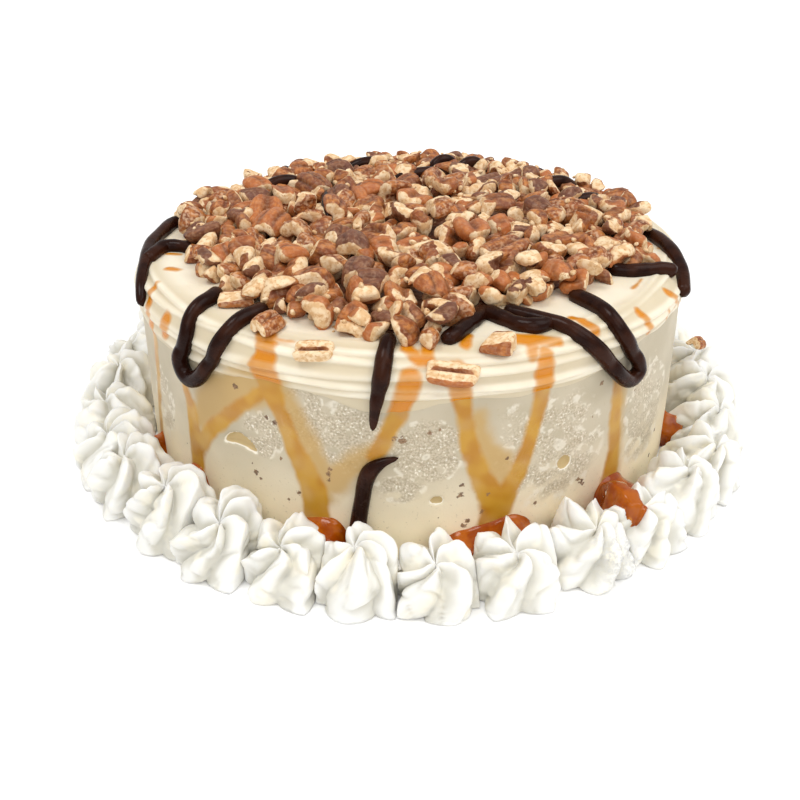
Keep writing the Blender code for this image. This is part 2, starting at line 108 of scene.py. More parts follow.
SAUCE_FILMS = (
    ((243, 121, 9.0), (238, 125.5, 8.0), (232.5, 132, 9.0), (230, 138, 8.0), (228, 144, 6.0)),
    ((246, 121, 6.0), (250.2, 134, 4.6), (252.3, 145, 5.6), (254, 152, 5.6), (254.5, 160, 4.6)),
    ((264.5, 139, 3.4), (261.4, 144, 5.0), (258.5, 148.5, 5.4), (255.8, 154, 6.0)),
    ((281, 128, 3.4), (282.6, 141, 4.6), (285.2, 146.5, 6.0), (285.4, 153, 6.0), (285, 160, 5.0)),
    ((311.2, 128, 3.4), (311.6, 150, 3.8), (312, 166, 4.6)),
    ((96, 126, 5.0), (93, 140, 6.0), (94, 152, 6.0)),
    ((60, 128, 5.0), (58.6, 146, 5.6)),
)

# Torn patches of the side: azimuth, run, half width, half height, strength
TORN = (
    (242.5, 141, 9, 10, 1.0), (251, 129.8, 8.5, 15, 1.0), (259, 135.7, 14, 15, 1.0),
    (273, 139.8, 15, 13, 1.0), (296, 146, 25, 25, 0.5), (267.7, 154.7, 10, 6, 0.8),
    (322.2, 149, 21, 26, 0.45), (288, 131, 8, 7, 0.3), (100, 140, 17, 14, 1.0), (75, 150, 12, 10, 0.8),
    (150, 145, 15, 17, 1.0), (20, 150, 18, 12, 0.9), (48, 132, 10, 9, 1.0), (180, 150, 15, 12, 0.6),
    (125, 160, 9, 7, 0.9), (345, 146, 15, 14, 0.6), (212, 150, 12, 18, 0.35),
)

# Brown flecks of nut and fudge frozen into the side: azimuth, run, size
FLECKS = (
    (216, 155.1, 0.8), (221, 160.5, 0.6), (237.4, 125, 1.6), (240.6, 157.2, 1.7), (241.6, 159.2, 1.0),
    (239.7, 154, 0.8), (246.2, 148.4, 1.0), (249.5, 160.6, 1.3), (247.3, 164.5, 0.8), (255.6, 148.6, 1.3),
    (255.3, 150.8, 1.4), (255.2, 153, 1.1), (266.9, 134.6, 1.3), (268.3, 135.5, 2.0), (251.1, 116.7, 0.8),
    (272.9, 132.8, 1.4), (274.6, 131.6, 0.9), (278.7, 153.5, 1.3), (278.5, 157.4, 1.6), (278.0, 158.2, 0.9),
    (274.5, 166.4, 0.6), (279.9, 168.6, 1.5), (279.3, 170.4, 1.6), (282.4, 165.1, 1.4), (286.7, 145.1, 1.0),
    (302.2, 162.2, 1.3), (302.9, 163.6, 1.6), (303.4, 165, 1.2), (292.8, 166.3, 1.4), (305.8, 125.8, 1.4),
    (316.4, 136, 1.0), (329.4, 164.7, 1.3), (327.4, 174.4, 1.4), (304.2, 137.9, 0.8), (243.6, 133.6, 1.4),
    (245.4, 134.8, 1.6), (311.3, 129, 0.9), (283.4, 158.2, 1.2), (262, 129, 0.6), (299.6, 139.5, 0.6),
    (225.5, 128.7, 0.6),
)

# Air pockets in the side: azimuth, run, half width, half height, depth, sag of the ends
POCKETS = (
    (237.2, 147.0, 7.2, 2.3, 1.9, 0.055), (298.6, 153.8, 2.7, 2.7, 1.5, 0.0),
    (274.3, 160.2, 2.1, 1.4, 1.1, 0.0), (110, 150, 3.4, 2.2, 1.5, 0.02), (35, 145, 5.6, 2.0, 1.7, 0.05),
    (165, 158, 2.5, 2.2, 1.4, 0.0), (84, 162, 2.2, 1.6, 1.2, 0.0),
)


def skin(azimuth, run, lift=0.0):
    """Places on the cake's skin, or lifted off it, from azimuths in radians and runs."""
    azimuth, run, lift = np.broadcast_arrays(azimuth, run, lift)
    turn = np.clip((run - FLAT_RUN) / SHOULDER_ROUND, 0, math.pi / 2)
    side_z = np.minimum(CAKE_HEIGHT - SHOULDER_ROUND - (run - SHOULDER_RUN), CAKE_HEIGHT - SHOULDER_ROUND)
    side = BASE_RADIUS + (TOP_RADIUS - BASE_RADIUS) * side_z / (CAKE_HEIGHT - SHOULDER_ROUND)
    radius = np.where(run > SHOULDER_RUN, side, np.minimum(run, FLAT_RUN) + SHOULDER_ROUND * np.sin(turn))
    z = np.where(run > SHOULDER_RUN, side_z, CAKE_HEIGHT - SHOULDER_ROUND * (1 - np.cos(turn)))
    radius = radius + np.sin(turn) * lift
    return np.stack([radius * np.cos(azimuth), radius * np.sin(azimuth), z + np.cos(turn) * lift], -1)


def round_from(azimuth, at):
    """Way round the cake's side to azimuths in radians, from one in degrees."""
    return ((azimuth - math.radians(at) + math.pi) % TURN - math.pi) * TOP_RADIUS


def inside_stroke(x, y, dx, dy, w1, w2):
    """How far places lie inside a stroke from 0, 0 to dx, dy, whose half width goes from w1 to w2."""
    share = np.clip((x * dx + y * dy) / (dx * dx + dy * dy), 0, 1)
    return w1 + (w2 - w1) * share - np.hypot(x - dx * share, y - dy * share)


def reach_of(strokes, azimuth, run):
    """How far each place lies inside the edge of the nearest stroke, and below 0 outside them all."""
    reach = np.full(np.broadcast(azimuth, run).shape, FAR_OUTSIDE)
    for stroke in strokes:
        for (a1, r1, w1), (a2, r2, w2) in zip(stroke, stroke[1:]):
            dx = math.radians((a2 - a1 + 180) % 360 - 180) * TOP_RADIUS
            reach = np.maximum(reach, inside_stroke(round_from(azimuth, a1), run - r1, dx, r2 - r1, w1, w2))
    return reach


def cloud(places, size, shift=0.0):
    """Smooth noise from -1 to 1 at each place, in lumps of the given size."""
    flat = np.asarray(places).reshape(-1, 3) / size + shift
    return np.array([noise.noise(Vector(place)) for place in flat]).reshape(np.shape(places)[:-1])


def smooth_step(value, low, high):
    """Share from 0 to 1 of the way from low to high, eased at both ends."""
    share = np.clip((value - low) / (high - low), 0, 1)
    return share * share * (3 - 2 * share)


def ring_faces(rows, columns, start=0):
    """Quads between rows of vertices whose columns close into a ring, and a face over each end."""
    here = np.arange(rows * columns).reshape(rows, columns) + start
    beside = np.roll(here, -1, axis=1)
    quads = np.stack([here[:-1], beside[:-1], beside[1:], here[1:]], -1).reshape(-1, 4)
    return quads.tolist() + [here[0, ::-1].tolist(), here[-1].tolist()]


def mesh_piece(name, places, faces, sharp=None, **marks):
    """Mesh object from places in millimetres, with the marks kept on its vertices for the finish to read."""
    mesh = bpy.data.meshes.new(name)
    mesh.from_pydata((np.asarray(places).reshape(-1, 3) * MM).tolist(), [], faces)
    for mark, values in marks.items():
        values = np.asarray(values, np.float32).ravel()
        kind, key = ("FLOAT", "value") if len(values) == len(mesh.vertices) else ("FLOAT_VECTOR", "vector")
        mesh.attributes.new(mark, kind, "POINT").data.foreach_set(key, values)
    mesh.shade_smooth()
    if sharp:
        mesh.set_sharp_from_angle(angle=math.radians(sharp))
    obj = bpy.data.objects.new(name, mesh)
    bpy.context.scene.collection.objects.link(obj)
    return obj


def paint(code):
    """Linear colour from the six-figure code of a swatch."""
    parts = [int(code[k:k + 2], 16) / 255 for k in (0, 2, 4)]
    return (*[p / 12.92 if p <= 0.04045 else ((p + 0.055) / 1.055) ** 2.4 for p in parts], 1.0)


class Value:
    """A shader socket that takes part in sums with numbers and with other sockets."""

    def __init__(self, finish, socket):
        self.finish = finish
        self.socket = socket

    def __add__(self, other):
        return self.finish.add("Math", {"operation": "ADD"}, {0: self, 1: other})

    __radd__ = __add__

    def __sub__(self, other):
        return self.finish.add("Math", {"operation": "SUBTRACT"}, {0: self, 1: other})

    def __rsub__(self, other):
        return self.finish.add("Math", {"operation": "SUBTRACT"}, {0: other, 1: self})

    def __mul__(self, other):
        return self.finish.add("Math", {"operation": "MULTIPLY"}, {0: self, 1: other})

    __rmul__ = __mul__


class Finish:
    """A material that is mixed step by step. Every node comes from add()."""

    def __init__(self, name, **constants):
        self.material = bpy.data.materials.new(name)
        self.material.use_nodes = True
        self.tree = self.material.node_tree
        self.shader = self.tree.nodes["Principled BSDF"]
        self.wear(**constants)

    def add(self, kind, settings, inputs, output=0):
        node = self.tree.nodes.new("ShaderNode" + kind)
        for key, value in settings.items():
            setattr(node, key, value)
        self.connect(node, inputs)
        return Value(self, node.outputs[output])

    def connect(self, node, inputs):
        for key, value in inputs.items():
            if isinstance(value, Value):
                self.tree.links.new(value.socket, node.inputs[key])
            else:
                node.inputs[key].default_value = value

    def wear(self, **sockets):
        """Sets or links the shader's own sockets, named with underscores."""
        self.connect(self.shader, {key.replace("_", " "): value for key, value in sockets.items()})

    def mark(self, name, output="Fac"):
        return self.add("Attribute", {"attribute_name": name}, {}, output)

    def grain(self, size, detail=2.0, place=None):
        """Noise in lumps of the given size, from about 0.25 to 0.75; a place of its own is in millimetres."""
        if place is None:
            place = self.add("TexCoord", {}, {}, "Object")
            size = size * MM
        return self.add("TexNoise", {}, {"Vector": place, "Scale": 1 / size, "Detail": detail})

    def step(self, value, low, high):
        return self.add("MapRange", {"interpolation_type": "SMOOTHSTEP"},
                        {"Value": value, "From Min": low, "From Max": high})

    def blend(self, share, low, high):
        return self.add("Mix", {"data_type": "RGBA"}, {0: share, 6: low, 7: high}, 2)

    def bump(self, height, depth, strength=1.0):
        """Normal of a relief of the given depth in millimetres."""
        return self.add("Bump", {}, {"Height": height, "Distance": depth * MM, "Strength": strength})

    def sauce(self, colour, hold=1.0):
        """Lays thin caramel over a colour, more golden where it is thick. Gives the colour and thickness."""
        wobble = self.grain(6.0, 2.0) - 0.5
        thin = self.step(self.mark("film") + wobble * 4.0, -2.4, 3.4) * hold
        thick = self.step(self.mark("line") + wobble * 2.2, -0.8, 1.4) * hold
        colour = self.blend(thin * 0.85, colour, CARAMEL_FILM)
        gold = self.blend(self.step(self.grain(9.0, 1.0), 0.36, 0.62), CARAMEL_DEEP, CARAMEL_GOLD)
        cover = thick * (self.step(self.grain(11.0, 1.0), 0.36, 0.6) * 0.16 + 0.83)
        return self.blend(cover, colour, gold), thick


CARAMEL_FILM = paint("BE9A5A")
CARAMEL_GOLD = paint("C18F25")
CARAMEL_DEEP = paint("B47A08")

azimuth = np.linspace(0, TURN, CAKE_COLUMNS, endpoint=False)[None, :]
run = np.arange(FOOT_RUN, FOOT_RUN - DRUM_TOP, -DRUM_ROW)[:, None]
flat_skin = skin(azimuth, run)
torn = np.zeros(flat_skin.shape[:2])
for at, down, wide, tall, strength in TORN:
    within = 1 - np.hypot(round_from(azimuth, at) / wide, (run - down) / tall)
    torn = np.maximum(torn, strength * np.clip(TORN_EDGE * within, 0, 1))
torn = torn * np.clip(0.75 + 1.3 * cloud(flat_skin, 5.0, 3.1), 0, 1)
pocket = np.zeros(torn.shape)
sunk = np.zeros(torn.shape)
for at, down, wide, tall, deep, sag in POCKETS:
    x = round_from(azimuth, at)
    inside = smooth_step(1.15 - np.hypot(x / wide, (run - down - sag * x * x + 1) / tall), 0, 0.4)
    pocket = np.maximum(pocket, inside)
    sunk = np.maximum(sunk, inside * deep)
fleck_rng = random.Random(3)
flecks = list(FLECKS)
for _ in range(BACK_FLECKS):
    flecks.append([fleck_rng.uniform(*span) for span in (BACK_AZIMUTHS, FLECK_RUNS, FLECK_SIZES)])
fleck = np.zeros(torn.shape)
for at, down, size in flecks:
    fleck = np.maximum(fleck, 1.5 - np.hypot(round_from(azimuth, at), run - down) / size)
line = reach_of(SAUCE_LINES, azimuth, run)
film = reach_of(SAUCE_FILMS, azimuth, run)
crumble = cloud(flat_skin, 1.7) * 0.6 + cloud(flat_skin, 3.6, 7.7) * 0.5
lift = SIDE_WAVE * cloud(flat_skin, 17.0) + SIDE_RIPPLE * cloud(flat_skin, 5.0, 1.3)
lift = lift + torn * (TORN_CRUMB * crumble - TORN_SINK) - sunk
lift += CARAMEL_THICK * smooth_step(line, -0.8, 1.4) + CARAMEL_THIN * smooth_step(film, -2, 3)
ice_cream = mesh_piece("vanilla_drum", skin(azimuth, run, lift), ring_faces(len(run), CAKE_COLUMNS),
                       line=line, film=film, torn=torn, pocket=pocket, fleck=fleck)

vanilla = Finish("vanilla_ice_cream", Subsurface_Weight=0.12, Subsurface_Radius=(0.006, 0.004, 0.0025),
                 Subsurface_Scale=1.0)
height = vanilla.add("SeparateXYZ", {}, {0: vanilla.add("TexCoord", {}, {}, "Object")}, "Z")
colour = vanilla.blend(vanilla.step(vanilla.grain(20.0), 0.35, 0.65), paint("B9AD94"), paint("C5B9A1"))
# Painted light: the side turns paler and warmer towards the foot, standing in for light bounced up from the
# cream.
colour = vanilla.blend(1 - vanilla.step(height, 0.006, 0.042), colour, paint("FFF0D0"))
ice = vanilla.grain(0.8, 3.0)
rough = vanilla.mark("torn")
# The torn crumb's colour follows its relief: darker in its hollows, which is painted shade, and near white on
# its raised ice flakes.
crumb_and_shade = vanilla.blend(vanilla.step(ice, 0.36, 0.56), paint("AD9F86"), paint("C9BCA4"))
crumb_and_shade = vanilla.blend(vanilla.step(ice, 0.60, 0.68), crumb_and_shade, paint("F4EEE0"))
colour = vanilla.blend(vanilla.step(rough, 0.05, 0.5) * 0.9, colour, crumb_and_shade)
broken_edge = vanilla.step(rough, 0.03, 0.16) - vanilla.step(rough, 0.2, 0.4)
broken_edge = broken_edge * vanilla.step(vanilla.grain(4.0, 2.0), 0.5, 0.6)
colour = vanilla.blend(broken_edge * 0.5, colour, paint("F3ECDC"))
colour = vanilla.blend(vanilla.step(vanilla.grain(1.1, 3.0), 0.64, 0.72) * 0.4, colour, paint("B5A789"))
hole = vanilla.mark("pocket")
colour = vanilla.blend(vanilla.step(hole, 0.04, 0.2), colour, paint("F0E8D6"))
colour = vanilla.blend(vanilla.step(hole, 0.30, 0.42), colour, paint("C7AE7C"))
colour, wet = vanilla.sauce(colour)
speck = vanilla.mark("fleck") + (vanilla.grain(0.9, 3.0) - 0.5) * 1.7
nut_brown = vanilla.blend(vanilla.step(vanilla.grain(3.0), 0.4, 0.6), paint("5A3A26"), paint("8C6A4A"))
colour = vanilla.blend(vanilla.step(speck, 0.72, 0.98) * 0.9, colour, nut_brown)
colour = vanilla.blend(vanilla.step(speck, 1.25, 1.5) * 0.7, colour, paint("34201A"))
vanilla.wear(Base_Color=colour, Roughness=0.62 - wet * 0.32, Normal=vanilla.bump(ice, 0.9, rough * 0.5 + 0.1))
ice_cream.data.materials.append(vanilla.material)
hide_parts("ice_cream")
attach(ice_cream, "root")


# One drip of fudge hangs alone, low on the front of the ice cream. It is poured warm and sets to a glossy,
# nearly black rope that hooks away to a point at its top.
FUDGE_RADIUS = 2.8
LOW_DRIP_LIFT = 0.9
LOW_DRIP_POINT = 0.3
LOW_DRIP_SWELL = 0.72
LOW_DRIP_TIP = 2.0
LOW_DRIP_ROUTE = (
    (267.6, 141.5), (265, 143.5), (262.9, 147), (261.9, 152), (261.4, 158), (260.9, 164), (260.4, 171),
    (259.9, 178),
)
ROUTE_STEPS = 24
ROPE_SIDES = 20
ROPE_STEP = 1.1
ROPE_ASIDE = (0.3, 0.2, 0.93)
TIP_LEFT = 0.02


def smooth_route(route):
    """Azimuths in radians, runs and share of the way at even steps on the smooth curve through a route."""
    azimuths = np.unwrap(np.radians([degrees for degrees, _ in route]))
    points = np.stack([azimuths * TOP_RADIUS, [down for _, down in route]], -1)
    ends = np.concatenate([[2 * points[0] - points[1]], points, [2 * points[-1] - points[-2]]])
    fine = []
    for a, b, c, d in zip(ends, ends[1:], ends[2:], ends[3:]):
        for t in np.arange(0, 1, 1 / ROUTE_STEPS):
            bend = 2 * a - 5 * b + 4 * c - d
            fine.append(0.5 * (2 * b + (c - a) * t + bend * t * t + (3 * b - a - 3 * c + d) * t ** 3))
    fine = np.array(fine + [points[-1]])
    walked = np.concatenate([[0], np.cumsum(np.linalg.norm(np.diff(fine, axis=0), axis=1))])
    even = np.linspace(0, walked[-1], max(6, round(walked[-1] / ROPE_STEP)))
    azimuths = np.interp(even, walked, fine[:, 0]) / TOP_RADIUS
    return azimuths, np.interp(even, walked, fine[:, 1]), even / walked[-1]


def rope(points, radii, start=0):
    """Places and faces of a round rope of fudge through the points, closed to a soft tip at each end."""
    along = np.gradient(points, axis=0)
    along /= np.linalg.norm(along, axis=1)[:, None]
    side = np.cross(along[0], ROPE_ASIDE)
    rings = []
    turns = np.linspace(0, TURN, ROPE_SIDES, endpoint=False)[:, None]
    for point, way, radius in zip(points, along, radii):
        side = side - way * side.dot(way)
        side /= np.linalg.norm(side)
        rings.append(point + radius * (np.cos(turns) * side + np.sin(turns) * np.cross(way, side)))
    return np.array(rings).reshape(-1, 3), ring_faces(len(rings), ROPE_SIDES, start)


def rounded_ends(count, tip):
    """Shares of the radius that close a rope to a round tip of the given length at both ends."""
    away = np.minimum(np.arange(count), np.arange(count)[::-1]) * ROPE_STEP
    return np.sqrt(np.clip(1 - (1 - np.clip(away / tip, TIP_LEFT, 1)) ** 2, 0, 1))


fudge = Finish("dark_fudge", Specular_IOR_Level=0.1)
streaks = fudge.grain(2.6, 3.0)
skin_tone = fudge.blend(fudge.step(fudge.grain(9.0), 0.38, 0.62), paint("200C06"), paint("341A0F"))
skin_tone = fudge.blend(fudge.step(fudge.grain(0.7, 3.0), 0.6, 0.72) * 0.25, skin_tone, paint("3A2219"))
fudge.wear(Base_Color=skin_tone, Roughness=fudge.step(streaks, 0.2, 0.8) * 0.16 + 0.16,
           Normal=fudge.bump(streaks, 0.35, 0.3))

azimuths, runs, share = smooth_route(LOW_DRIP_ROUTE)
girth = FUDGE_RADIUS * (LOW_DRIP_POINT + LOW_DRIP_SWELL * smooth_step(share, 0.0, 0.3))
girth = girth * (1 + 0.04 * np.sin(9 * share))
places, faces = rope(skin(azimuths, runs, LOW_DRIP_LIFT), girth * rounded_ends(len(runs), LOW_DRIP_TIP))
low_drip = mesh_piece("low_fudge_drip", places, faces)
low_drip.data.materials.append(fudge.material)
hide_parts("ice_cream")
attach(low_drip, "root")


# The frosting is whipped cream stabilised with sugar, spread over the top and a thumb's breadth down the
# side. The comb of a spatula left soft ridges round its edge, steeper on their lower side, which wander,
# rise to the top and fade.

# Ridges: run, height, wander, azimuth in radians where it is strong, how much it fades
RIDGES = (
    (98.0, 0.6, 1.8, 1.6, 0.9), (101.5, 0.8, 1.6, 0.6, 0.9), (105.3, 1.3, 1.2, 4.0, 0.6),
    (109.4, 1.5, 1.0, 4.9, 0.5), (113.4, 1.6, 0.9, 4.4, 0.4), (116.9, 1.7, 0.9, 5.3, 0.45),
    (120.0, 1.3, 0.7, 4.7, 0.4),
)
RIDGE_ABOVE = 1.9
RIDGE_BELOW = 0.75
FROSTING_PROUD = 0.4
FROSTING_ROLL = 5.5
FROSTING_SWELL = 0.22
FROSTING_RIPPLE = 0.08
FROSTING_SAUCE = 0.25
COMBED_FROM = 96.0
COMBED_ROWS = 62
FROSTING_INNER_RUNS = (92.0, 86.0, 78.0, 66.0, 48.0, 26.0, 6.0)
FROSTING_EDGE = (
    (15, 121), (40, 125), (62, 122.5), (85, 125.5), (110, 127), (135, 122), (160, 125), (185, 123.5),
    (206.9, 124.9), (215.6, 126.0), (227.8, 128.7), (238.6, 121.8), (250.6, 122.1), (261.1, 126.6),
    (267.9, 127.7), (274.5, 123.5), (281.3, 123.4), (288.5, 124.7), (296.3, 123.9), (305.2, 122.3),
    (316, 119), (329, 117.5), (345, 119),
)

# Dabs and short runs of caramel on the frosting, as in the runs above
PATCHES = (
    ((205, 95, 1.6), (203, 98.5, 2.2)), ((218.5, 112, 3.0), (217.5, 117, 3.2)),
    ((272.8, 102, 2.2), (272.2, 107, 2.8)),
    ((287.5, 101, 2.0), (292, 104, 3.2), (296, 106.5, 1.6)),
    ((291.5, 104, 3.0), (290.5, 108.5, 2.4)), ((280.2, 97, 2.4), (279.4, 101.5, 2.6)),
    ((242.5, 96, 3.0), (242.8, 103, 3.4)), ((244.8, 105.2, 0.7), (249, 105.0, 0.6)),
    ((254.5, 91, 2.6), (258.5, 94.5, 2.2)), ((269, 103, 2.4), (271, 107.5, 2.2)),
    ((303, 98, 1.8), (304.5, 106, 2.4)), ((317, 106, 1.6), (318.5, 114, 1.8)),
    ((329.5, 107, 1.6), (331.5, 112, 1.8)), ((334, 114, 1.0), (333, 120, 1.2)),
    ((326.5, 112, 0.9), (326.5, 118, 0.8)), ((324, 97.5, 0.7), (330, 97, 0.6)),
    ((195, 93, 1.5), (194, 97, 1.4)), ((170, 98, 2.0), (172, 104, 2.4)), ((140, 97, 2.4), (137, 105, 2.0)),
    ((80, 104, 2.6), (84, 110, 2.2)), ((20, 100, 2.4), (23, 108, 2.0)), ((350, 101, 1.8), (349, 108, 2.0)),
)


def round_table(table, azimuth):
    """Values at azimuths in radians, from a table of azimuths in degrees that closes on itself."""
    turns, values = zip(*table)
    turns = (turns[-1] - 360, *turns, turns[0] + 360)
    return np.interp(np.degrees(azimuth) % 360, turns, (values[-1], *values, values[0]))


def frosting_lift(azimuth, run):
    """Height of the ridges over the smooth skin."""
    height = np.zeros(np.broadcast(azimuth, run).shape)
    for place, tall, wander, strong, fade in RIDGES:
        middle = place + wander * (np.sin(2 * azimuth + place) + 0.5 * np.sin(5 * azimuth + 2.1 * place)
                                   + 0.25 * np.sin(13 * azimuth + 3.7 * place))
        weight = tall * (1 - fade * (0.5 - 0.5 * np.cos(azimuth - strong)))
        weight = weight * (0.72 + 0.28 * np.sin(9 * azimuth + 5 * place))
        away = run - middle
        away = away / np.where(away < 0, RIDGE_ABOVE, RIDGE_BELOW)
        height = np.maximum(height, weight * np.exp(-away ** 2))
    return height


low = round_table(FROSTING_EDGE, azimuth) + 0.5 * np.sin(11 * azimuth) + 0.35 * np.sin(29 * azimuth + 1.0)
rows = [low + (COMBED_FROM - low) * k / COMBED_ROWS for k in range(COMBED_ROWS + 1)]
rows += [np.full(low.shape, inner) for inner in FROSTING_INNER_RUNS]
run = np.concatenate(rows)
azimuths = np.broadcast_to(azimuth, run.shape)
flat_skin = skin(azimuths, run)
ridge = frosting_lift(azimuths, run)
swell = FROSTING_SWELL * cloud(flat_skin, 16.0, 2.0) + FROSTING_RIPPLE * cloud(flat_skin, 5.0, 4.0)
line = reach_of(SAUCE_LINES, azimuths, run)
line = np.maximum(line, reach_of(PATCHES, azimuths, run))
film = np.maximum(line - 1.2, reach_of(SAUCE_FILMS, azimuths, run))
full = smooth_step(low - run, 0.0, FROSTING_ROLL)
sauce = FROSTING_SAUCE * smooth_step(line, -0.8, 1.5) * (1 - 0.5 * np.clip(ridge, 0, 1))
lift = full * (FROSTING_PROUD + swell + ridge + sauce) - (1 - full) ** 6
frosting = mesh_piece("spread_frosting", skin(azimuths, run, lift), ring_faces(len(run), CAKE_COLUMNS),
                      line=line, film=film, ridge=ridge, comb=smooth_step(run, 97, 104))

icing = Finish("cream_frosting", Subsurface_Weight=0.15, Subsurface_Radius=(0.005, 0.004, 0.0025),
               Subsurface_Scale=1.0)
crest = icing.step(icing.mark("ridge"), 0.1, 0.9)
colour = icing.blend(icing.step(icing.grain(18.0), 0.35, 0.65), paint("E3D7BF"), paint("EBE1CB"))
# Painted shade: within the combed band the grooves between the ridges are darkened.
colour = icing.blend((1 - crest) * icing.mark("comb") * 0.8, colour, paint("CCBC9C"))
colour, wet = icing.sauce(colour, 1 - crest * 0.4)
colour = icing.blend(wet * 0.96, colour, paint("D0800A"))
icing.wear(Base_Color=colour, Roughness=0.5 - wet * 0.25, Normal=icing.bump(icing.grain(2.2, 4.0), 0.3, 0.3))
frosting.data.materials.append(icing.material)
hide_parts("frosting")
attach(frosting, "root")


# Fudge was poured in loops over the frosted top while it was warm, so each rope sits a little sunk in the
# frosting, hangs in a bend over the shoulder and stands off the side below. It is the same fudge as the
# low drip.
FUDGE_SIT = 1.9
FUDGE_HANG = FUDGE_RADIUS + 0.6
HANGS_FROM = 116.5
HANGS_FREE = 120.5
ROPE_TIP = 2.6
FUDGE_ROUTES = {
    "left_back": (
        (174, 88), (175, 98), (181, 100.5), (189, 103), (196, 104.5), (201, 107), (205, 110), (208, 114),
    ),
    "left_front": ((195, 85), (192, 92), (191.5, 98), (195, 102), (197.5, 104.5)),
    "left_loop": (
        (223, 92), (225, 99), (226, 107), (226.5, 112), (225.5, 117), (225, 122), (226, 126), (228, 127),
        (230.5, 124), (233, 117.5), (234.5, 112), (236, 106), (236.8, 99), (237.5, 91),
    ),
    "front_drip": ((265.8, 99), (265.3, 106), (265, 111), (264.4, 117), (263.9, 123), (263.5, 130)),
    "front_right": ((288, 80), (284.5, 86), (280.5, 93), (277.5, 98.5), (275.4, 101.3)),
    "front_swag": ((287, 82), (289.7, 91), (291.6, 97), (294.3, 99.5), (297.4, 98.5)),
    "right_loop": (
        (310.7, 85), (310, 96), (309, 104), (309.3, 109), (311, 114), (313, 120), (313.8, 125), (311, 126.5),
        (307.5, 121), (305, 115), (302, 109.5), (299.8, 105), (297.6, 99), (294.5, 91), (291.5, 84),
    ),
    "right_back": ((7.6, 88), (2, 93), (355, 99), (348, 103), (342, 107), (337.5, 110), (334.5, 112)),
    "right_front": ((330, 84), (331, 91), (333.5, 97), (336, 102), (337.5, 106)),
    "back_right_loop": ((57, 90), (54, 101), (51, 110), (46, 115), (41, 111), (38, 102), (35, 90)),
    "back_left_loop": ((128, 87), (126, 100), (123, 112), (118, 121), (113, 114), (111, 103), (108, 91)),
}
FUDGE_ENDS = {"front_drip": 0.42, "left_back": 0.75}

rope_tops = []
rope_places, rope_faces = [], []
for k, (name, route) in enumerate(FUDGE_ROUTES.items()):
    azimuths, runs, share = smooth_route(route)
    girth = FUDGE_RADIUS * (1 + (FUDGE_ENDS.get(name, 1.0) - 1) * smooth_step(share, 0.45, 1.0))
    girth = girth * (1 + 0.05 * np.sin(13 * share + k) + 0.03 * np.sin(31 * share + 2 * k))
    off = smooth_step(runs, HANGS_FROM, HANGS_FREE)
    middle = skin(azimuths, runs, FUDGE_SIT * (1 - off) + FUDGE_HANG * off)
    rope_tops += list(middle + (0, 0, FUDGE_RADIUS))
    places, faces = rope(middle, girth * rounded_ends(len(runs), ROPE_TIP), sum(map(len, rope_places)))
    rope_places.append(places)
    rope_faces += faces
ropes = mesh_piece("fudge_ropes", np.concatenate(rope_places), rope_faces)
ropes.data.materials.append(fudge.material)
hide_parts("frosting")
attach(ropes, "root")


# Whipped cream is piped through an open star nozzle into a ring of swirls that press on each other and on
# the foot of the cake. Each has uneven lobes with sharp folds between them, which meet in a blunt top and
# flare to pointed toes.
STAR_COUNT = 31
STAR_FIRST_AZIMUTH = 238.8
STAR_RING_RADIUS = 128.6
STAR_RADIUS = 18.6
STAR_HEIGHT = 24.0
STAR_TWIST = math.radians(26)
STAR_LEAN = 3.5
LOBE_DRAWS = 7
PETALS = 6
PETAL_COLUMNS = 15
STAR_ROWS = 38
STAR_REACH = 145.7
STAR_INNER = BASE_RADIUS + 0.3
STAR_HEART = 8.0
RIM_SOFT = 0.5
PRESS_SOFT = 1.6
STAR_PUSH = 2.6
STAR_PINCH = 1.3
STAR_RIPPLE = 0.35
BURST_STAR = 5
BURST_DEPTH = 1.3
BURST_RADII = (131, 137)
BURST_AZIMUTHS = (295, 298)
STAR_CREST = (
    (0, 0.91), (0.06, 0.98), (0.16, 1.0), (0.32, 0.98), (0.48, 0.91), (0.62, 0.80), (0.76, 0.62),
    (0.88, 0.38), (0.96, 0.16), (1.0, 0.02),
)
STAR_VALLEY = (
    (0, 0.66), (0.1, 0.70), (0.30, 0.68), (0.45, 0.61), (0.60, 0.51), (0.74, 0.38), (0.86, 0.24),
    (0.94, 0.12), (1.0, 0.02),
)
STAR_RISE = (
    (0, 0), (0.1, 0.09), (0.32, 0.36), (0.5, 0.60), (0.66, 0.80), (0.80, 0.95), (0.90, 1.0), (0.96, 0.94),
    (1.0, 0.84),
)
FOLD_SINK = 0.21

# Petals: least and most of sharpness, flare of the toe, swell of the middle, width and openness of the fold
PETAL_SPANS = ((0.1, 0.9), (0.0, 0.24), (-0.12, 0.10), (0.55, 1.45), (0.85, 1.12))

rng = random.Random(19)
shape_rng = random.Random(5)
step = TURN / STAR_COUNT
azimuths = [math.radians(STAR_FIRST_AZIMUTH) + step * (k + rng.uniform(-0.1, 0.1)) for k in range(STAR_COUNT)]
columns = PETALS * PETAL_COLUMNS
around = np.linspace(0, PETALS, columns, endpoint=False)[None, :]
lobe = np.round(around).astype(int) % PETALS
offset = around - np.round(around)
aside = np.abs(offset) * 2
up = np.linspace(0, 1, STAR_ROWS)[:, None] ** 0.85

cream = Finish("whipped_cream", Subsurface_Weight=0.3, Subsurface_Radius=(0.004, 0.0037, 0.003),
               Subsurface_Scale=1.0)
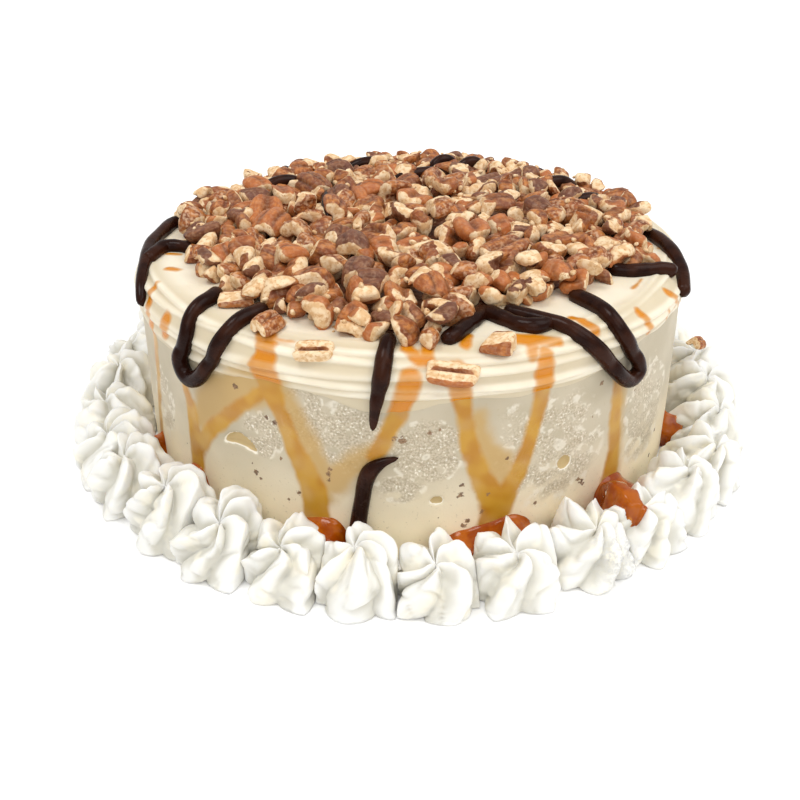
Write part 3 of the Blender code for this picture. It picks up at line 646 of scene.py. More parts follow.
# Painted shade: the cream turns grey in the folds between its lobes and in its pinched creases.
fold = cream.step(cream.mark("fold"), 0.2, 0.95)
burst = cream.mark("burst")
colour = cream.blend(fold, paint("EDECE7"), paint("D0CDC1"))
colour = cream.blend(cream.step(cream.grain(9.0), 0.52, 0.68) * 0.55, colour, paint("F8F2E0"))
froth = cream.grain(1.2, 4.0)
colour = cream.blend(burst * cream.step(froth, 0.42, 0.6) * 0.8, colour, paint("D2D1CC"))
cream.wear(Base_Color=colour, Roughness=0.42 + cream.grain(3.0) * 0.2,
           Normal=cream.bump(froth, 0.6, 0.1 + burst * 0.5))

all_cream = []
for k, azimuth_k in enumerate(azimuths):
    radius = STAR_RADIUS * rng.uniform(0.94, 1.06)
    height = STAR_HEIGHT * rng.uniform(0.86, 1.12)
    lean = np.array((rng.uniform(-STAR_LEAN, STAR_LEAN), rng.uniform(-STAR_LEAN, STAR_LEAN)))
    lobes = np.array([rng.uniform(0.9, 1.03) for _ in range(LOBE_DRAWS)])
    twist = STAR_TWIST * rng.uniform(0.5, 1.4)
    turned = rng.uniform(0, TURN)
    ring = STAR_RING_RADIUS + rng.uniform(-1, 1)
    petals = [np.array([shape_rng.uniform(*span) for _ in range(PETALS)])[lobe] for span in PETAL_SPANS]
    tent, toe, proud, wide, open_fold = petals
    widths = wide[0, ::PETAL_COLUMNS] / wide[0, ::PETAL_COLUMNS].sum() * TURN
    middles = np.cumsum(widths) - widths / 2
    turn = middles[lobe] + offset * widths[lobe] + turned
    tilt = shape_rng.uniform(0.08, 0.4)
    bulge = (1 - tent) * np.cos(aside * math.pi / 2) ** 0.8 + tent * (1 - aside) ** 1.15
    flare = 1 + toe * np.exp(-(up / 0.06) ** 2) + proud * np.exp(-((up - 0.5) / 0.25) ** 2)
    crest = lobes[lobe] * np.interp(up, *zip(*STAR_CREST)) * flare
    valley = np.interp(up, *zip(*STAR_VALLEY)) * open_fold
    reach = radius * (valley + np.maximum(crest - valley, 0) * bulge)
    turn = turn + twist * up * 1.3 + 0.6 * up ** 3
    out_x, out_y = math.cos(azimuth_k), math.sin(azimuth_k)
    x = reach * np.cos(turn) + (lean[0] + out_x * tilt * 9) * up ** 2
    y = reach * np.sin(turn) + (lean[1] + out_y * tilt * 9) * up ** 2
    rise = np.interp(up, *zip(*STAR_RISE)) * (1 - FOLD_SINK * (1 - bulge) * smooth_step(up, 0.1, 0.6))
    z = 0.95 * height * rise - tilt * (x * out_x + y * out_y) * rise
    places = np.stack([x + ring * out_x, y + ring * out_y, z], -1)
    free = smooth_step(up, 0.0, 0.12)[..., None]
    push = np.stack([cloud(places, 11.0, shift) for shift in (0.0, 13.7, 27.1)], -1)
    outward = places - (ring * out_x, ring * out_y, STAR_HEART)
    outward /= np.linalg.norm(outward, axis=-1)[..., None]
    pinch = 1 - np.abs(cloud(places, 9.0, 41.3)) * 4
    pinched = outward * (STAR_PINCH * np.clip(pinch, 0, 1)[..., None] * free)
    places = places + push * STAR_PUSH * free - pinched
    places = places + outward * (STAR_RIPPLE * cloud(places, 2.6, 5.0)[..., None] * free)
    burst = np.zeros(reach.shape)
    if k == BURST_STAR:
        away = np.hypot(places[..., 0], places[..., 1])
        bearing = np.degrees(np.arctan2(places[..., 1], places[..., 0])) % 360
        burst = smooth_step(away, *BURST_RADII) * smooth_step(bearing, *BURST_AZIMUTHS)
        places = places + outward * (burst * cloud(places, 1.6, 9.0) * BURST_DEPTH)[..., None]
    for neighbour, side in ((azimuths[k - 1], -1), (azimuths[(k + 1) % STAR_COUNT], 1)):
        halfway = azimuth_k + ((neighbour - azimuth_k + math.pi) % TURN - math.pi) / 2 + side * math.pi / 2
        across = np.array((math.cos(halfway), math.sin(halfway)))
        over = np.logaddexp(0, PRESS_SOFT * (places[..., :2] @ across)) / PRESS_SOFT
        places[..., :2] -= over[..., None] * across
    away = np.hypot(places[..., 0], places[..., 1])
    held = np.logaddexp(0, RIM_SOFT * (STAR_REACH - np.maximum(away, STAR_INNER))) / RIM_SOFT
    held = np.clip(STAR_REACH - held, STAR_INNER, STAR_REACH - 0.5)
    places[..., :2] *= (held / away)[..., None]
    places[..., 2] = np.clip(places[..., 2], 0, None)
    faces = ring_faces(STAR_ROWS, columns)
    # The fold mark carries painted shade for the cream's finish, high in the folds and pinched creases.
    folds = np.clip(1 - bulge + 0.4 * np.clip(pinch, 0, 1), 0, 1)
    star = mesh_piece("piped_star_{:02d}".format(k + 1), places, faces, fold=folds, burst=burst)
    star.data.materials.append(cream.material)
    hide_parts("cream_star_{:02d}".format(k + 1))
    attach(star, "root")
    all_cream.append((places.reshape(-1, 3), faces))


# Where the caramel reached the foot it gathered, glossy and deep orange, in the gaps between the cream and
# the cake. At the right it was still warm and ran out over the cream. Each pool lies level and clings to
# what is under it.

# Pools: azimuths and heights of the level at the cake; azimuths, radii and half widths of a run outward
POOLS = {
    "front": (((274, 4), (275.1, 7.3), (278.1, 10.1), (280.4, 11.2), (281.9, 12.1), (286.6, 14.2),
               (289.1, 13.4), (291.7, 10.6), (293, 6)), ()),
    "left_of_drip": (((248.6, 7), (250.3, 12.4), (252.9, 14.0), (255.2, 14.3), (257.1, 13.0), (258.2, 9.6),
                      (259.4, 5)), ()),
    "left": (((220.5, 5), (222, 15), (224.5, 17), (227, 14.5), (228.2, 5)), ()),
    "far_left": (((205.2, 5), (207, 14), (208.4, 16), (209.4, 5)), ()),
    "right": (((305.8, 7), (308.0, 14.5), (310.4, 16.2), (312.8, 15.6), (315.0, 12.5), (317.5, 5)),
              ((309.6, 111, 5.6), (308.4, 114.5, 6.0), (307.2, 118.5, 6.0), (306.2, 123, 5.6),
               (305.8, 127.5, 5.0), (305.6, 131, 4.2), (305.4, 133.5, 2.4))),
    "far_right": (((339.6, 5), (340.8, 12.5), (342, 14.5), (343, 12.5), (344, 5)), ()),
    "back_right": (((54.5, 5), (56.5, 12), (58.5, 13), (61, 5)), ()),
    "back": (((92, 4), (94, 12), (96, 14), (98.5, 5)), ()),
    "back_left": (((120, 5), (122, 13), (124, 12), (126, 5)), ()),
}
POOL_STEP = 0.45
POOL_MIDDLE = 115
POOL_OUT = 121.0
OVERFLOW_OUT = 143.0
OVERFLOW_BACK = 9
POOL_RIM = 119
POOL_FALL = 0.10
RIM_FALL = 0.8
POOL_CLIMB = 0.9
POOL_FILM = 1.1
POOL_DEEP = 1.6
FILM_EDGE = 0.5
FILM_SLOPE = 1.6
POOL_SINK = 0.2
POOL_LEAST = 0.4
POOL_SHOWS = 1.2
DRAPE_ROUNDS = 30
WIDENED_ROUNDS = 5
DROP_FROM = 60.0

caramel = Finish("pooled_caramel", Roughness=0.1, Specular_IOR_Level=0.35)
amber = caramel.step(caramel.grain(5.0, 2.0), 0.35, 0.65)
colour = caramel.blend(amber, paint("8F3D03"), paint("A85508"))
colour = caramel.blend(caramel.step(caramel.mark("thin"), 0.2, 1.0) * 0.8, colour, paint("CC7F22"))
caramel.wear(Base_Color=colour, Normal=caramel.bump(caramel.grain(3.5, 1.0), 0.5, 0.4))

cream_places = np.concatenate([places for places, _ in all_cream])
cream_faces = []
for k, (_, faces) in enumerate(all_cream):
    cream_faces += [[vert + k * STAR_ROWS * columns for vert in face] for face in faces]
under = bvhtree.BVHTree.FromPolygons(cream_places.tolist(), cream_faces)


def shell(name, top, keep, bottom, **marks):
    """Closed piece made of the kept cells of a grid of places, down to the heights of its underside."""
    rows, across = keep.shape
    here = np.arange((rows + 1) * (across + 1)).reshape(rows + 1, across + 1)
    cells = np.stack([here[:-1, :-1], here[1:, :-1], here[1:, 1:], here[:-1, 1:]], -1)[keep]
    sides = set()
    for cell in cells.tolist():
        for pair in zip(cell, cell[1:] + cell[:1]):
            if pair[::-1] in sides:
                sides.remove(pair[::-1])
            else:
                sides.add(pair)
    used, numbers = np.unique(cells, return_inverse=True)
    numbers = numbers.reshape(-1, 4)
    place_of = {int(vert): k for k, vert in enumerate(used)}
    flat = top.reshape(-1, 3)[used]
    low = flat.copy()
    low[:, 2] = np.clip(bottom.ravel()[used], 0.05, None)
    count = len(used)
    faces = numbers.tolist() + (numbers[:, ::-1] + count).tolist()
    faces += [[place_of[b], place_of[a], place_of[a] + count, place_of[b] + count] for a, b in sorted(sides)]
    marks = {mark: np.tile(values.ravel()[used], 2) for mark, values in marks.items()}
    return mesh_piece(name, np.concatenate([flat, low]), faces, **marks)


for name, (levels, overflow) in POOLS.items():
    wall, heights = zip(*levels)
    first = wall[0] - OVERFLOW_BACK if overflow else wall[0]
    turns = np.arange(first, wall[-1] + 0.1, math.degrees(POOL_STEP / POOL_MIDDLE))
    away = np.arange(BASE_RADIUS - 0.4, OVERFLOW_OUT if overflow else POOL_OUT, POOL_STEP)
    turn, out = np.meshgrid(np.radians(turns), away, indexing="ij")
    x, y = out * np.cos(turn), out * np.sin(turn)
    met = [under.ray_cast(Vector((*spot, DROP_FROM)), Vector((0, 0, -1)))[0]
           for spot in zip(x.ravel(), y.ravel())]
    ground = np.array([place.z if place else 0.0 for place in met]).reshape(x.shape)
    level = np.interp(turns, wall, heights, left=FAR_OUTSIDE, right=FAR_OUTSIDE)
    level = np.convolve(np.pad(level, 4, mode="edge"), np.ones(9) / 9, "valid")[:, None]
    level = level - POOL_FALL * (out - BASE_RADIUS) - RIM_FALL * np.clip(out - POOL_RIM, 0, None)
    level = level + POOL_CLIMB * np.exp(-(out - BASE_RADIUS) / 1.1)
    level = level + 0.5 * cloud(np.stack([x, y, level], -1), 6.0, 2.2)
    if overflow:
        path = [(radius * math.cos(math.radians(at)), radius * math.sin(math.radians(at)), wide)
                for at, radius, wide in overflow]
        inside = np.full(x.shape, FAR_OUTSIDE)
        for (x1, y1, w1), (x2, y2, w2) in zip(path, path[1:]):
            inside = np.maximum(inside, inside_stroke(x - x1, y - y1, x2 - x1, y2 - y1, w1, w2))
        inside = inside + 0.8 * cloud(np.stack([x, y, 0 * x], -1), 5.0, 6.1)
        drape = ground
        for k in range(DRAPE_ROUNDS):
            padded = np.pad(drape, 1, mode="edge")
            near = np.stack([padded[i:i + x.shape[0], j:j + x.shape[1]] for i in range(3) for j in range(3)])
            drape = near.max(0) if k < WIDENED_ROUNDS else near.mean(0)
            if k == 0:
                hug = near.mean(0)
        flow = np.minimum(drape + POOL_FILM, hug + FILM_EDGE + FILM_SLOPE * inside)
        level = np.where(inside > 0, np.maximum(level, flow), level)
    level = np.maximum(level, POOL_LEAST)
    wet = (level > ground) & (level > POOL_SHOWS)
    spread = wet.copy()
    for shift, axis in ((1, 0), (-1, 0), (1, 1), (-1, 1)):
        spread |= np.roll(wet, shift, axis)
    keep = spread[:-1, :-1] & spread[1:, :-1] & spread[1:, 1:] & spread[:-1, 1:]
    bottom = np.minimum(level - POOL_DEEP, ground - POOL_SINK)
    pool = shell("caramel_pool_" + name, np.stack([x, y, level], -1), keep, bottom,
                 thin=smooth_step(1.0 - (level - ground), 0.0, 1.0))
    pool.data.materials.append(caramel.material)
    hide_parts("ice_cream")
    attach(pool, "root")


# The heap on top is roasted pecans, chopped coarsely: a few whole halves, many chunks with skin on one side
# and pale flesh where they broke, and small bits between. They lie as they fell, on a low bed that stands for
# the nuts beneath, coloured as their darkest skin to give painted shade in the gaps between them.
HEAP_EDGE = (
    (11, 101), (37, 100), (56, 101), (74, 102), (91, 101), (105, 101), (121, 98), (150, 93), (166, 101),
    (186, 90), (205, 91), (221, 90), (232, 92), (244, 95), (252, 96), (265, 102), (273, 104), (279, 94),
    (291, 83), (304, 87), (312, 86), (325, 89), (339, 97), (352, 96),
)
BED_INSET = 9.0
BED_HEIGHT = 1.6
BED_COLUMNS = 180
BED_OUTLINE = (
    (1.0, 0.0), (0.985, 0.3), (0.95, 0.62), (0.88, 0.86), (0.75, 0.97), (0.5, 1.0), (0.25, 1.0), (0.02, 1.0),
)
BED_ROUGH = 0.7
HEAP_TOP = 95.8
HEAP_REACH = 90
HEAP_FALL = 5.0
HEAP_BACK_FALL = 2.2
CELL = 1.25
CELLS = 172
NUT_SINK = 0.5
NUT_ROUND = 1.7
NUT_BEARS_ON = 82
NUT_HALF_LENGTH = 13.6
NUT_HALF_WIDTH = 7.2
NUT_HEIGHT = 8.4
NUT_REACH = 28
NUT_REACH_STEP = 0.5
HALVINGS = 5
EDGE_ON = 0.03
FAR_AWAY = 99.0
BREAK_CRUMBLE = 0.05
GROOVE_AT = 0.40
GROOVE_SPREAD = 0.10
SEAM_SPREAD = 1.5
BREAK_EDGE = 6
SHARP_BREAK = 58
ROPE_SHOWS = 0.4
ROPE_GIVE = 0.3
SIDE_BREAKS = 0.42
SKEW_BREAKS = 0.3
FLAT_BREAKS = 0.3

# Fineness of the ball that each kind of piece is cut from, and rounds of smoothing for each fineness
FINENESS = {"halves": 5, "chunks": 4, "bits": 3, "crumbs": 2}
ROUNDINGS = {2: 1, 3: 1, 4: 3, 5: 4}

# Drops, in order: kind, count, how many places each piece tries, share of the heap's cells they are in
DROPS = (
    ("bits", 130, 7, 0.14), ("chunks", 55, 7, 0.14), ("halves", 9, 7, 0.14), ("bits", 150, 7, 0.14),
    ("chunks", 45, 7, 0.14), ("bits", 180, 7, 0.14), ("halves", 12, 3, 0.6), ("crumbs", 220, 2, 1.0),
)
ROPE_END_SPOTS = ((-66.5, -60.5), (-62, -57), (56.5, -62.5), (52, -61))


def in_nut(places):
    """Whether places lie inside a pecan half with its flat side down and its length along x."""
    x, y, z = places[..., 0], places[..., 1], places[..., 2]
    end = np.clip(1 - np.abs(x / NUT_HALF_LENGTH) ** 2.5, 0, 1)
    wide = np.maximum(NUT_HALF_WIDTH * end ** 0.55, 0.01)
    across = np.clip(np.abs(y) / wide, 0, 1.1)
    back = NUT_HEIGHT * end ** 0.6 * np.sqrt(np.clip(1 - across ** 2, 0, 1))
    groove = 1.3 * np.exp(-((across - GROOVE_AT) / GROOVE_SPREAD) ** 2)
    back = back - end * (groove - 0.25 * np.sin(1.1 * x + 3 * across) * across)
    front = end * 2.6 * np.exp(-(y / SEAM_SPREAD) ** 2) + 1.1 * across ** 3 * end
    return (np.abs(x) < NUT_HALF_LENGTH) & (across < 1) & (z < back) & (z > front - 0.2)


def ball(fineness):
    """Ways out from a middle, and the triangles between them."""
    bm = bmesh.new()
    bmesh.ops.create_icosphere(bm, subdivisions=fineness, radius=1.0)
    ways = np.array([vert.co for vert in bm.verts])
    faces = [[vert.index for vert in face.verts] for face in bm.faces]
    bm.free()
    return ways, np.array(faces)


BALLS = {fineness: ball(fineness) for fineness in ROUNDINGS}


def rounded(values, fineness):
    """Values at a ball's corners, each drawn a few times toward the mean of the corners round it."""
    faces = BALLS[fineness][1]
    uses = np.bincount(faces.ravel())
    for _ in range(ROUNDINGS[fineness]):
        others = values[faces].sum(1)[:, None] - values[faces]
        values = values / 2 + np.bincount(faces.ravel(), others.ravel()) / uses / 4
    return values


def chop(fineness, heart, breaks, draw):
    """A piece of nut, seen from its heart: skin where it reaches the nut's surface, flesh at the breaks."""
    ways, faces = BALLS[fineness]
    steps = np.arange(NUT_REACH_STEP, NUT_REACH, NUT_REACH_STEP)
    out = ~in_nut(heart + ways[:, None] * steps[:, None])
    high = steps[np.argmax(out, axis=1)]
    low = high - NUT_REACH_STEP
    for _ in range(HALVINGS):
        middle = (low + high) / 2
        inside = in_nut(heart + ways * middle[:, None])
        low, high = np.where(inside, middle, low), np.where(inside, high, middle)
    reach = (low + high) / 2
    flesh = np.zeros(len(ways))
    shift = draw.uniform(0, 90)
    crumble = cloud(ways, 0.55, shift)
    for normal, far in breaks:
        facing = ways @ normal
        limit = np.where(facing > EDGE_ON, far / np.maximum(facing, EDGE_ON), FAR_AWAY)
        limit = limit * (1 + BREAK_CRUMBLE * crumble)
        flesh = np.maximum(flesh, 1 / (1 + np.exp(np.clip((limit - reach) * BREAK_EDGE, -30, 30))))
        reach = -np.logaddexp(-reach * NUT_ROUND, -limit * NUT_ROUND) / NUT_ROUND
    reach, flesh = rounded(reach, fineness), rounded(flesh, fineness)
    places = heart + ways * reach[:, None]
    across = np.abs(places[:, 1]) / NUT_HALF_WIDTH
    crease = np.exp(-((across - GROOVE_AT) / GROOVE_SPREAD) ** 2) * (places[:, 2] > 2)
    crease = np.maximum(crease, np.exp(-(places[:, 1] / SEAM_SPREAD) ** 2) * (places[:, 2] < 3.2))
    return places, faces, flesh, crease * (1 - flesh), places + shift


def unit(x, y, z):
    """A way of length 1."""
    return np.array((x, y, z)) / math.sqrt(x * x + y * y + z * z)


def draw_piece(kind, draw):
    """Heart and breaks of a random piece of a kind."""
    if kind == "halves":
        ends = [(unit(side, draw.uniform(-0.5, 0.5), draw.uniform(-0.3, 0.3)), draw.uniform(7, 12.5))
                for side in (-1, 1)]
        return np.array((draw.uniform(-1, 1), 0.0, 3.6)), ends[:draw.choice((1, 1, 2))]
    if kind == "chunks":
        heart = np.array((draw.uniform(-7, 7), draw.uniform(-2.2, 2.2), 3.8))
        breaks = [(unit(side, draw.uniform(-0.7, 0.7), draw.uniform(-0.5, 0.5)), draw.uniform(3.4, 7.6))
                  for side in (-1, 1)]
        if draw.random() < SIDE_BREAKS:
            way = unit(draw.uniform(-0.4, 0.4), draw.choice((-1, 1)), draw.uniform(-0.5, 0.5))
            breaks.append((way, draw.uniform(1.6, 4.5)))
        if draw.random() < SKEW_BREAKS:
            way = unit(draw.uniform(-1, 1), draw.uniform(-1, 1), draw.uniform(-1, 1))
            breaks.append((way, draw.uniform(2.6, 4.5)))
        if draw.random() < FLAT_BREAKS:
            way = unit(draw.uniform(-0.1, 0.1), draw.uniform(-0.15, 0.15), -1)
            breaks.append((way, heart[2] - draw.uniform(0.4, 1.2)))
        return heart, breaks
    aside = draw.uniform(-9, 9), draw.choice((-1, 1)) * draw.uniform(1.5, 4.6)
    heart = np.array((*aside, draw.uniform(2.8, 4.8)))
    size = draw.uniform(1.7, 3.5) if kind == "bits" else draw.uniform(0.5, 1.1)
    breaks = [(unit(draw.gauss(0, 1), draw.gauss(0, 1), draw.gauss(0, 1)), size * draw.uniform(0.75, 1.3))
              for _ in range(2)]
    breaks += [(unit(side, draw.uniform(-0.6, 0.6), draw.uniform(-0.6, 0.6)), size * 1.4) for side in (1, -1)]
    if kind == "crumbs":
        breaks += [(unit(0, side, 0.1), size * 1.2) for side in (-1, 1)]
        breaks += [(unit(0, 0.1, side), size) for side in (-1, 1)]
    return heart, breaks


def tumble(yaw, tilt, roll):
    """Turn of a piece: rolled about its length, then tilted, then turned about upright."""
    turn = Matrix.Rotation(yaw, 3, "Z") @ Matrix.Rotation(tilt, 3, "Y") @ Matrix.Rotation(roll, 3, "X")
    return np.array(turn)


class Pile:
    """Pieces of nut of one kind, gathered into one mesh."""

    def __init__(self):
        self.places, self.faces, self.marks, self.own = [], [], [], []
        self.count = 0

    def add(self, places, faces, flesh, crease, own, tone):
        self.faces += (faces + self.count).tolist()
        self.count += len(places)
        self.places.append(places)
        self.marks.append(np.stack([flesh, crease, np.full(len(places), tone)], -1))
        self.own.append(own)

    def piece(self, name, finish):
        flesh, crease, tone = np.concatenate(self.marks).T
        obj = mesh_piece(name, np.concatenate(self.places), self.faces, SHARP_BREAK,
                         flesh=flesh, crease=crease, tone=tone, own=np.concatenate(self.own))
        obj.data.materials.append(finish.material)
        return obj


pecan = Finish("roasted_pecan", Specular_IOR_Level=0.3)
own = pecan.mark("own", "Vector")
tone = pecan.mark("tone")
long_grain = pecan.add("VectorMath", {"operation": "MULTIPLY"}, {0: own, 1: (0.22, 1.0, 1.0)})
wrinkle = pecan.grain(0.9, 3.0, long_grain)
dapple = pecan.grain(3.4, 3.0, own)
skin_colour = pecan.blend(pecan.step(dapple, 0.36, 0.64), paint("8C4A22"), paint("BC783E"))
skin_colour = pecan.blend(pecan.step(wrinkle, 0.42, 0.66) * 0.65, skin_colour, paint("6A3010"))
ruddy = pecan.step(tone, 0.28, 0.38) - pecan.step(tone, 0.52, 0.62)
skin_colour = pecan.blend(ruddy * 0.55, skin_colour, paint("C0703A"))
skin_colour = pecan.blend(pecan.step(tone, 0.74, 0.92) * 0.7, skin_colour, paint("5E3C30"))
skin_colour = pecan.blend(pecan.mark("crease") * 0.7, skin_colour, paint("4A200A"))
dust = pecan.step(pecan.grain(1.5, 4.0, own), 0.46, 0.64)
skin_colour = pecan.blend(dust * (pecan.step(tone, 0.3, 0.05) * 0.5 + 0.18), skin_colour, paint("D2AC8A"))
meat = pecan.blend(pecan.step(pecan.grain(2.2, 3.0, own), 0.36, 0.62), paint("ECD2AC"), paint("D6AE7E"))
meat = pecan.blend(pecan.step(pecan.grain(1.1, 3.0, own), 0.56, 0.70) * 0.6, meat, paint("B07E50"))
open_flesh = pecan.step(pecan.mark("flesh") + (pecan.grain(1.8, 3.0, own) - 0.5) * 0.6, 0.46, 0.64)
pecan.wear(Base_Color=pecan.blend(open_flesh, skin_colour, meat), Roughness=0.42 + open_flesh * 0.2,
           Normal=pecan.bump(wrinkle + pecan.grain(0.8, 3.0, own) * 0.5, 0.4, 0.5))

centres = (np.arange(CELLS) - CELLS / 2 + 0.5) * CELL
grid_x, grid_y = np.meshgrid(centres, centres, indexing="ij")
grid_away = np.hypot(grid_x, grid_y)
grid_turn = np.arctan2(grid_y, grid_x)
heap_edge = round_table(HEAP_EDGE, grid_turn)
bed_level = np.interp(grid_away / (heap_edge - BED_INSET), *zip(*BED_OUTLINE[::-1]))
pile_top = CAKE_HEIGHT + FROSTING_PROUD + BED_HEIGHT * bed_level
for top in rope_tops:
    near = (grid_x - top[0]) ** 2 + (grid_y - top[1]) ** 2 < (FUDGE_RADIUS - ROPE_SHOWS) ** 2
    pile_top[near] = np.maximum(pile_top[near], top[2] - ROPE_GIVE)


def lay(places, at):
    """Lets turned places down on the pile at a spot. Gives their lift and the cell that each is in."""
    column = np.floor(places[:, :2] / CELL + np.array(at) / CELL + CELLS / 2).astype(int)
    column = np.clip(column, 0, CELLS - 1)
    key = column[:, 0] * CELLS + column[:, 1]
    under = places[:, 2] < 0
    rise = np.percentile(pile_top.ravel()[key[under]] - places[under, 2], NUT_BEARS_ON) - NUT_SINK
    return rise, key


piles = {kind: Pile() for kind in FINENESS}


def settle(kind, count, draw, choices, crowd, spot=None):
    """Drops pieces of a kind, each at the best of a few low places in the heap, or close to a spot."""
    for _ in range(count):
        places, faces, flesh, crease, own_places = chop(FINENESS[kind], *draw_piece(kind, draw), draw)
        places = places - (places.max(0) + places.min(0)) / 2
        if spot:
            lowest = np.flatnonzero(((grid_x - spot[0]) ** 2 + (grid_y - spot[1]) ** 2 < 4).ravel())
        else:
            half = np.ptp(places[:, 0]) / 2
            inside = np.flatnonzero((grid_away < heap_edge - half * 0.75).ravel())
            lowest = inside[np.argsort(pile_top.ravel()[inside])][:max(40, int(len(inside) * crowd))]
        best = None
        for _ in range(choices):
            cell = lowest[draw.randrange(len(lowest))]
            at = (centres[cell // CELLS], centres[cell % CELLS])
            if kind == "halves":
                roll = draw.choice((0, math.pi)) + draw.gauss(0, 0.35)
            else:
                roll = draw.uniform(0, TURN)
            turn = tumble(draw.uniform(0, TURN), draw.gauss(0, 0.28), roll)
            turned = places @ turn.T
            rise, key = lay(turned, at)
            high = rise + turned[:, 2].max()
            if best is None or high < best[0]:
                best = (high, rise, key, turned, at)
        high, rise, key, turned, at = best
        limit = HEAP_TOP - HEAP_FALL * (math.hypot(*at) / HEAP_REACH) ** 2
        if high > limit - HEAP_BACK_FALL * max(0, at[1] / HEAP_REACH):
            continue
        turned = turned + (at[0], at[1], rise)
        np.maximum.at(pile_top.ravel(), key, turned[:, 2])
        piles[kind].add(turned, faces, flesh, crease, own_places, draw.random())


nut_rng = random.Random(41)
end_rng = random.Random(8)
for spot in ROPE_END_SPOTS:
    settle("bits", 1, end_rng, 9, 1.0, spot)
for kind, count, choices, crowd in DROPS:
    settle(kind, count, nut_rng, choices, crowd)

bed_turn = np.linspace(0, TURN, BED_COLUMNS, endpoint=False)[None, :]
share, tall = (np.array(part)[:, None] for part in zip(*BED_OUTLINE))
bed_away = (round_table(HEAP_EDGE, bed_turn) - BED_INSET) * share
bed_top = CAKE_HEIGHT + FROSTING_PROUD + BED_HEIGHT * tall + 0 * bed_away
bed_places = np.stack([bed_away * np.cos(bed_turn), bed_away * np.sin(bed_turn), bed_top], -1)
bed_places[..., 2] += BED_ROUGH * cloud(bed_places, 3.0) * (tall > 0)
# Painted shade: the bed takes the darkest crease and tone of the nut skin, so the gaps between the nuts look
# shaded.
ones = np.ones(bed_away.shape)
shaded_bed = mesh_piece("pecan_bed_painted_shade", bed_places, ring_faces(len(share), BED_COLUMNS),
                 flesh=0.2 * ones, crease=0.8 * ones, tone=0.9 * ones, own=bed_places)
shaded_bed.data.materials.append(pecan.material)
for obj in [shaded_bed] + [pile.piece("pecan_" + kind, pecan) for kind, pile in piles.items()]:
    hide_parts("pecan_heap")
    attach(obj, "root")


# The fudge ropes run on under the nuts and show between them where the heap is thin, most of all along its
# back. Each glimpse is a short rope whose ends dip down between the nuts.
GAP_TIP = 2.4
GAP_SINK = 4.6
GAP_PROUD = 0.6
GAP_BEARS_ON = 55

# Glimpses: from x, y to x, y, and how far the middle arches up
FUDGE_GAPS = (
    (-37, 36, -33, 2, 0.4), (-31, 77, -6, 83, 0.8), (-10, 49, 19, 65, 0.5), (9, 71, 24, 79, 2.8),
    (22, 70, 37, 78, 2.8), (55, 38, 75, 49, 1.0), (66, 21, 86, 31, 1.0), (-66, 37, -47, 48, 0.6),
)
gap_places, gap_faces = [], []
for x1, y1, x2, y2, arch in FUDGE_GAPS:
    share = np.linspace(0, 1, max(6, round(math.hypot(x2 - x1, y2 - y1) / ROPE_STEP)))
    x, y = x1 + (x2 - x1) * share, y1 + (y2 - y1) * share
    cells = np.clip((np.stack([x, y]) / CELL + CELLS / 2).astype(int), 0, CELLS - 1)
    lying = np.percentile(pile_top[cells[0], cells[1]], GAP_BEARS_ON) - FUDGE_RADIUS + GAP_PROUD
    lying = min(lying, HEAP_TOP - FUDGE_RADIUS - arch)
    z = lying - GAP_SINK * np.abs(2 * share - 1) ** 2.5 + arch * np.sin(math.pi * share)
    radii = FUDGE_RADIUS * rounded_ends(len(share), GAP_TIP)
    places, faces = rope(np.stack([x, y, z], -1), radii, sum(map(len, gap_places)))
    gap_places.append(places)
    gap_faces += faces
gap_fudge = mesh_piece("fudge_between_nuts", np.concatenate(gap_places), gap_faces)
gap_fudge.data.materials.append(fudge.material)
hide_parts("pecan_heap")
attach(gap_fudge, "root")


# A few pieces rolled clear of the heap on to the frosting, and one lies on the cream at the right. Most are
# broken so that their pale inside shows, with the brown groove of the nut's flat side along it.

# Loose pieces: size beside the solid, heart in the nut, breaks as way and distance, yaw, roll, lean outward
LOOSE_PECANS = (
    (0.8, (-3, 0, 3.8), ((1, 0, 0.1, 6), (-1, 0.2, 0, 5.2), (-0.2, -0.3, 1, 1.9)), 10, 0, 0),
    (0.9, (0, 0, 3.6), ((1, 0.2, 0.2, 6.5), (-1, 0.1, 0, 6.5)), 55, 0, 0),
    (0.76, (1, 0, 3.6), ((1, 0.1, 0, 7.5), (-1, 0, 0.2, 8), (0, 0, -1, 3.0), (0, 1, 0, 4.4), (0, 0, 1, 1.8)),
     -8, 180, 20),
    (0.86, (0, 0.3, 3.6), ((1, 0.15, 0, 8.5), (-1, 0.1, 0.1, 8), (0, 0, -1, 2.9), (0, -1, 0.2, 4.6)),
     -9, 180, 25),
    (0.95, (-2, 0, 3.8), ((1, 0.3, 0, 5.6), (-1, 0, 0.2, 5), (-0.2, -0.35, 1, 2.1)), -28, 0, 0),
    (0.95, (2, 1, 3.8), ((1, 0.3, 0, 3.6), (-1, 0, 0.2, 3.4), (0.1, 0.8, 0.4, 2.4)), 40, 0, 10),
)
loose_rng = random.Random(7)
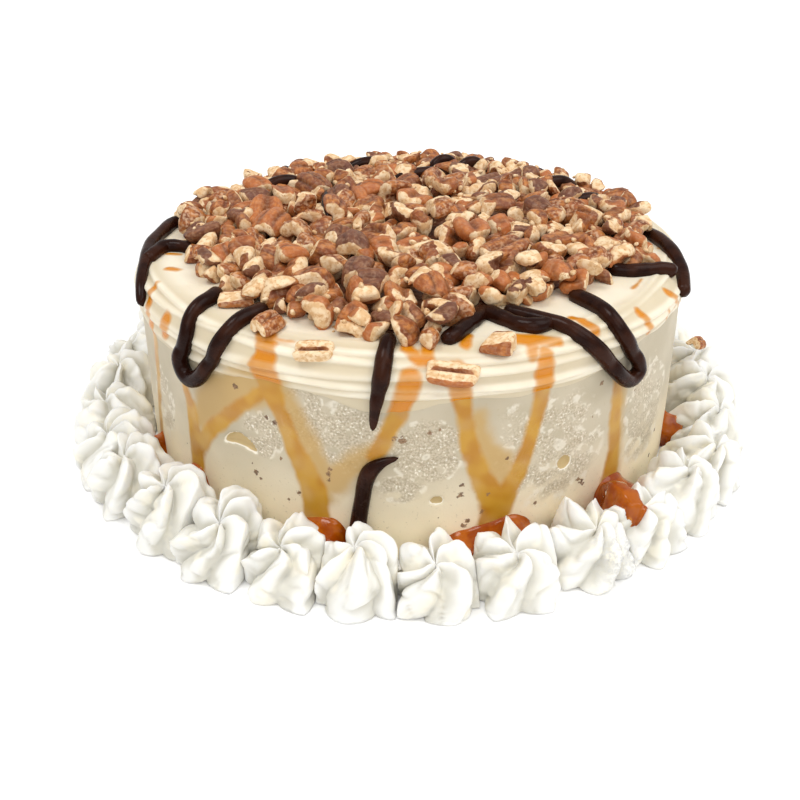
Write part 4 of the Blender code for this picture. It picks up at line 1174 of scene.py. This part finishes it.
for k, (size, heart, breaks, yaw, roll, lean) in enumerate(LOOSE_PECANS):
    low, high = (np.array(corner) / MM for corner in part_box("pecan_piece_{}".format(k + 1)))
    breaks = [(unit(*way), far) for *way, far in breaks]
    cut = chop(FINENESS["halves"], np.array(heart, float), breaks, loose_rng)
    places, faces, flesh, crease, own_places = cut
    places = places @ tumble(math.radians(yaw), 0.0, math.radians(roll)).T
    middle = (high + low) / 2
    out = Vector((middle[0], middle[1], 0)).normalized()
    tip = Matrix.Rotation(math.radians(lean), 3, Vector((0, 0, 1)).cross(out))
    places = places @ np.array(tip).T
    places -= (places.max(0) + places.min(0)) / 2
    places *= (high - low) / np.ptp(places, axis=0) * size
    middle = middle * (1 - (1 - size) * 0.03) - (0, 0, (1 - size) * (high[2] - low[2]) / 2)
    pile = Pile()
    pile.add(places + middle, faces, flesh, crease, own_places, loose_rng.uniform(0.1, 0.6))
    obj = pile.piece("loose_pecan_{}".format(k + 1), pecan)
    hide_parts("pecan_piece_{}".format(k + 1))
    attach(obj, "root")


# The cake stands on a plain pale floor in soft studio light: one broad light high at the left, one high at
# the right and a weaker one from the front, with the white room's own light round them.
FLOOR_REACH = 60
FLOOR_DROP = 0.0004
floor_mesh = bpy.data.meshes.new("floor")
corners = [(x * FLOOR_REACH, y * FLOOR_REACH, 0) for x, y in ((-1, -1), (1, -1), (1, 1), (-1, 1))]
floor_mesh.from_pydata(corners, [], [(0, 1, 2, 3)])
floor = bpy.data.objects.new("floor", floor_mesh)
floor.location.z = -FLOOR_DROP
bpy.context.scene.collection.objects.link(floor)
table = Finish("pale_floor", Roughness=0.7)
table.wear(Base_Color=table.blend(table.grain(60.0), paint("FAFAFA"), paint("FFFFFF")))
floor_mesh.materials.append(table.material)

world = bpy.data.worlds.new("soft_room")
world.use_nodes = True
room = world.node_tree.nodes["Background"]
room.inputs["Color"].default_value = (1.0, 1.0, 1.0, 1.0)
room.inputs["Strength"].default_value = 0.6
bpy.context.scene.world = world


def soft_light(name, way, spread, strength):
    """A far, broad light that shines from a direction."""
    light = bpy.data.lights.new(name, "SUN")
    light.angle = math.radians(spread)
    light.energy = strength
    obj = bpy.data.objects.new(name, light)
    obj.rotation_euler = Vector(way).to_track_quat("Z", "Y").to_euler()
    bpy.context.scene.collection.objects.link(obj)


soft_light("window", (-0.33, -0.12, 1.0), 26, 1.1)
soft_light("top", (0.66, -0.15, 1.0), 45, 1.12)
soft_light("front", (0.1, -1.0, 0.8), 40, 0.65)

camera_data = bpy.data.cameras.new("camera")
camera_data.lens = 41.4
camera_data.sensor_width = 36.0
camera = bpy.data.objects.new("camera", camera_data)
camera.location = (-0.00407, -0.3605, 0.2098)
aim = Vector((-0.00407, 0, -0.000335))
camera.rotation_euler = (aim - camera.location).to_track_quat("-Z", "Y").to_euler()
bpy.context.scene.collection.objects.link(camera)
bpy.context.scene.camera = camera
bpy.context.scene.view_settings.view_transform = "Standard"
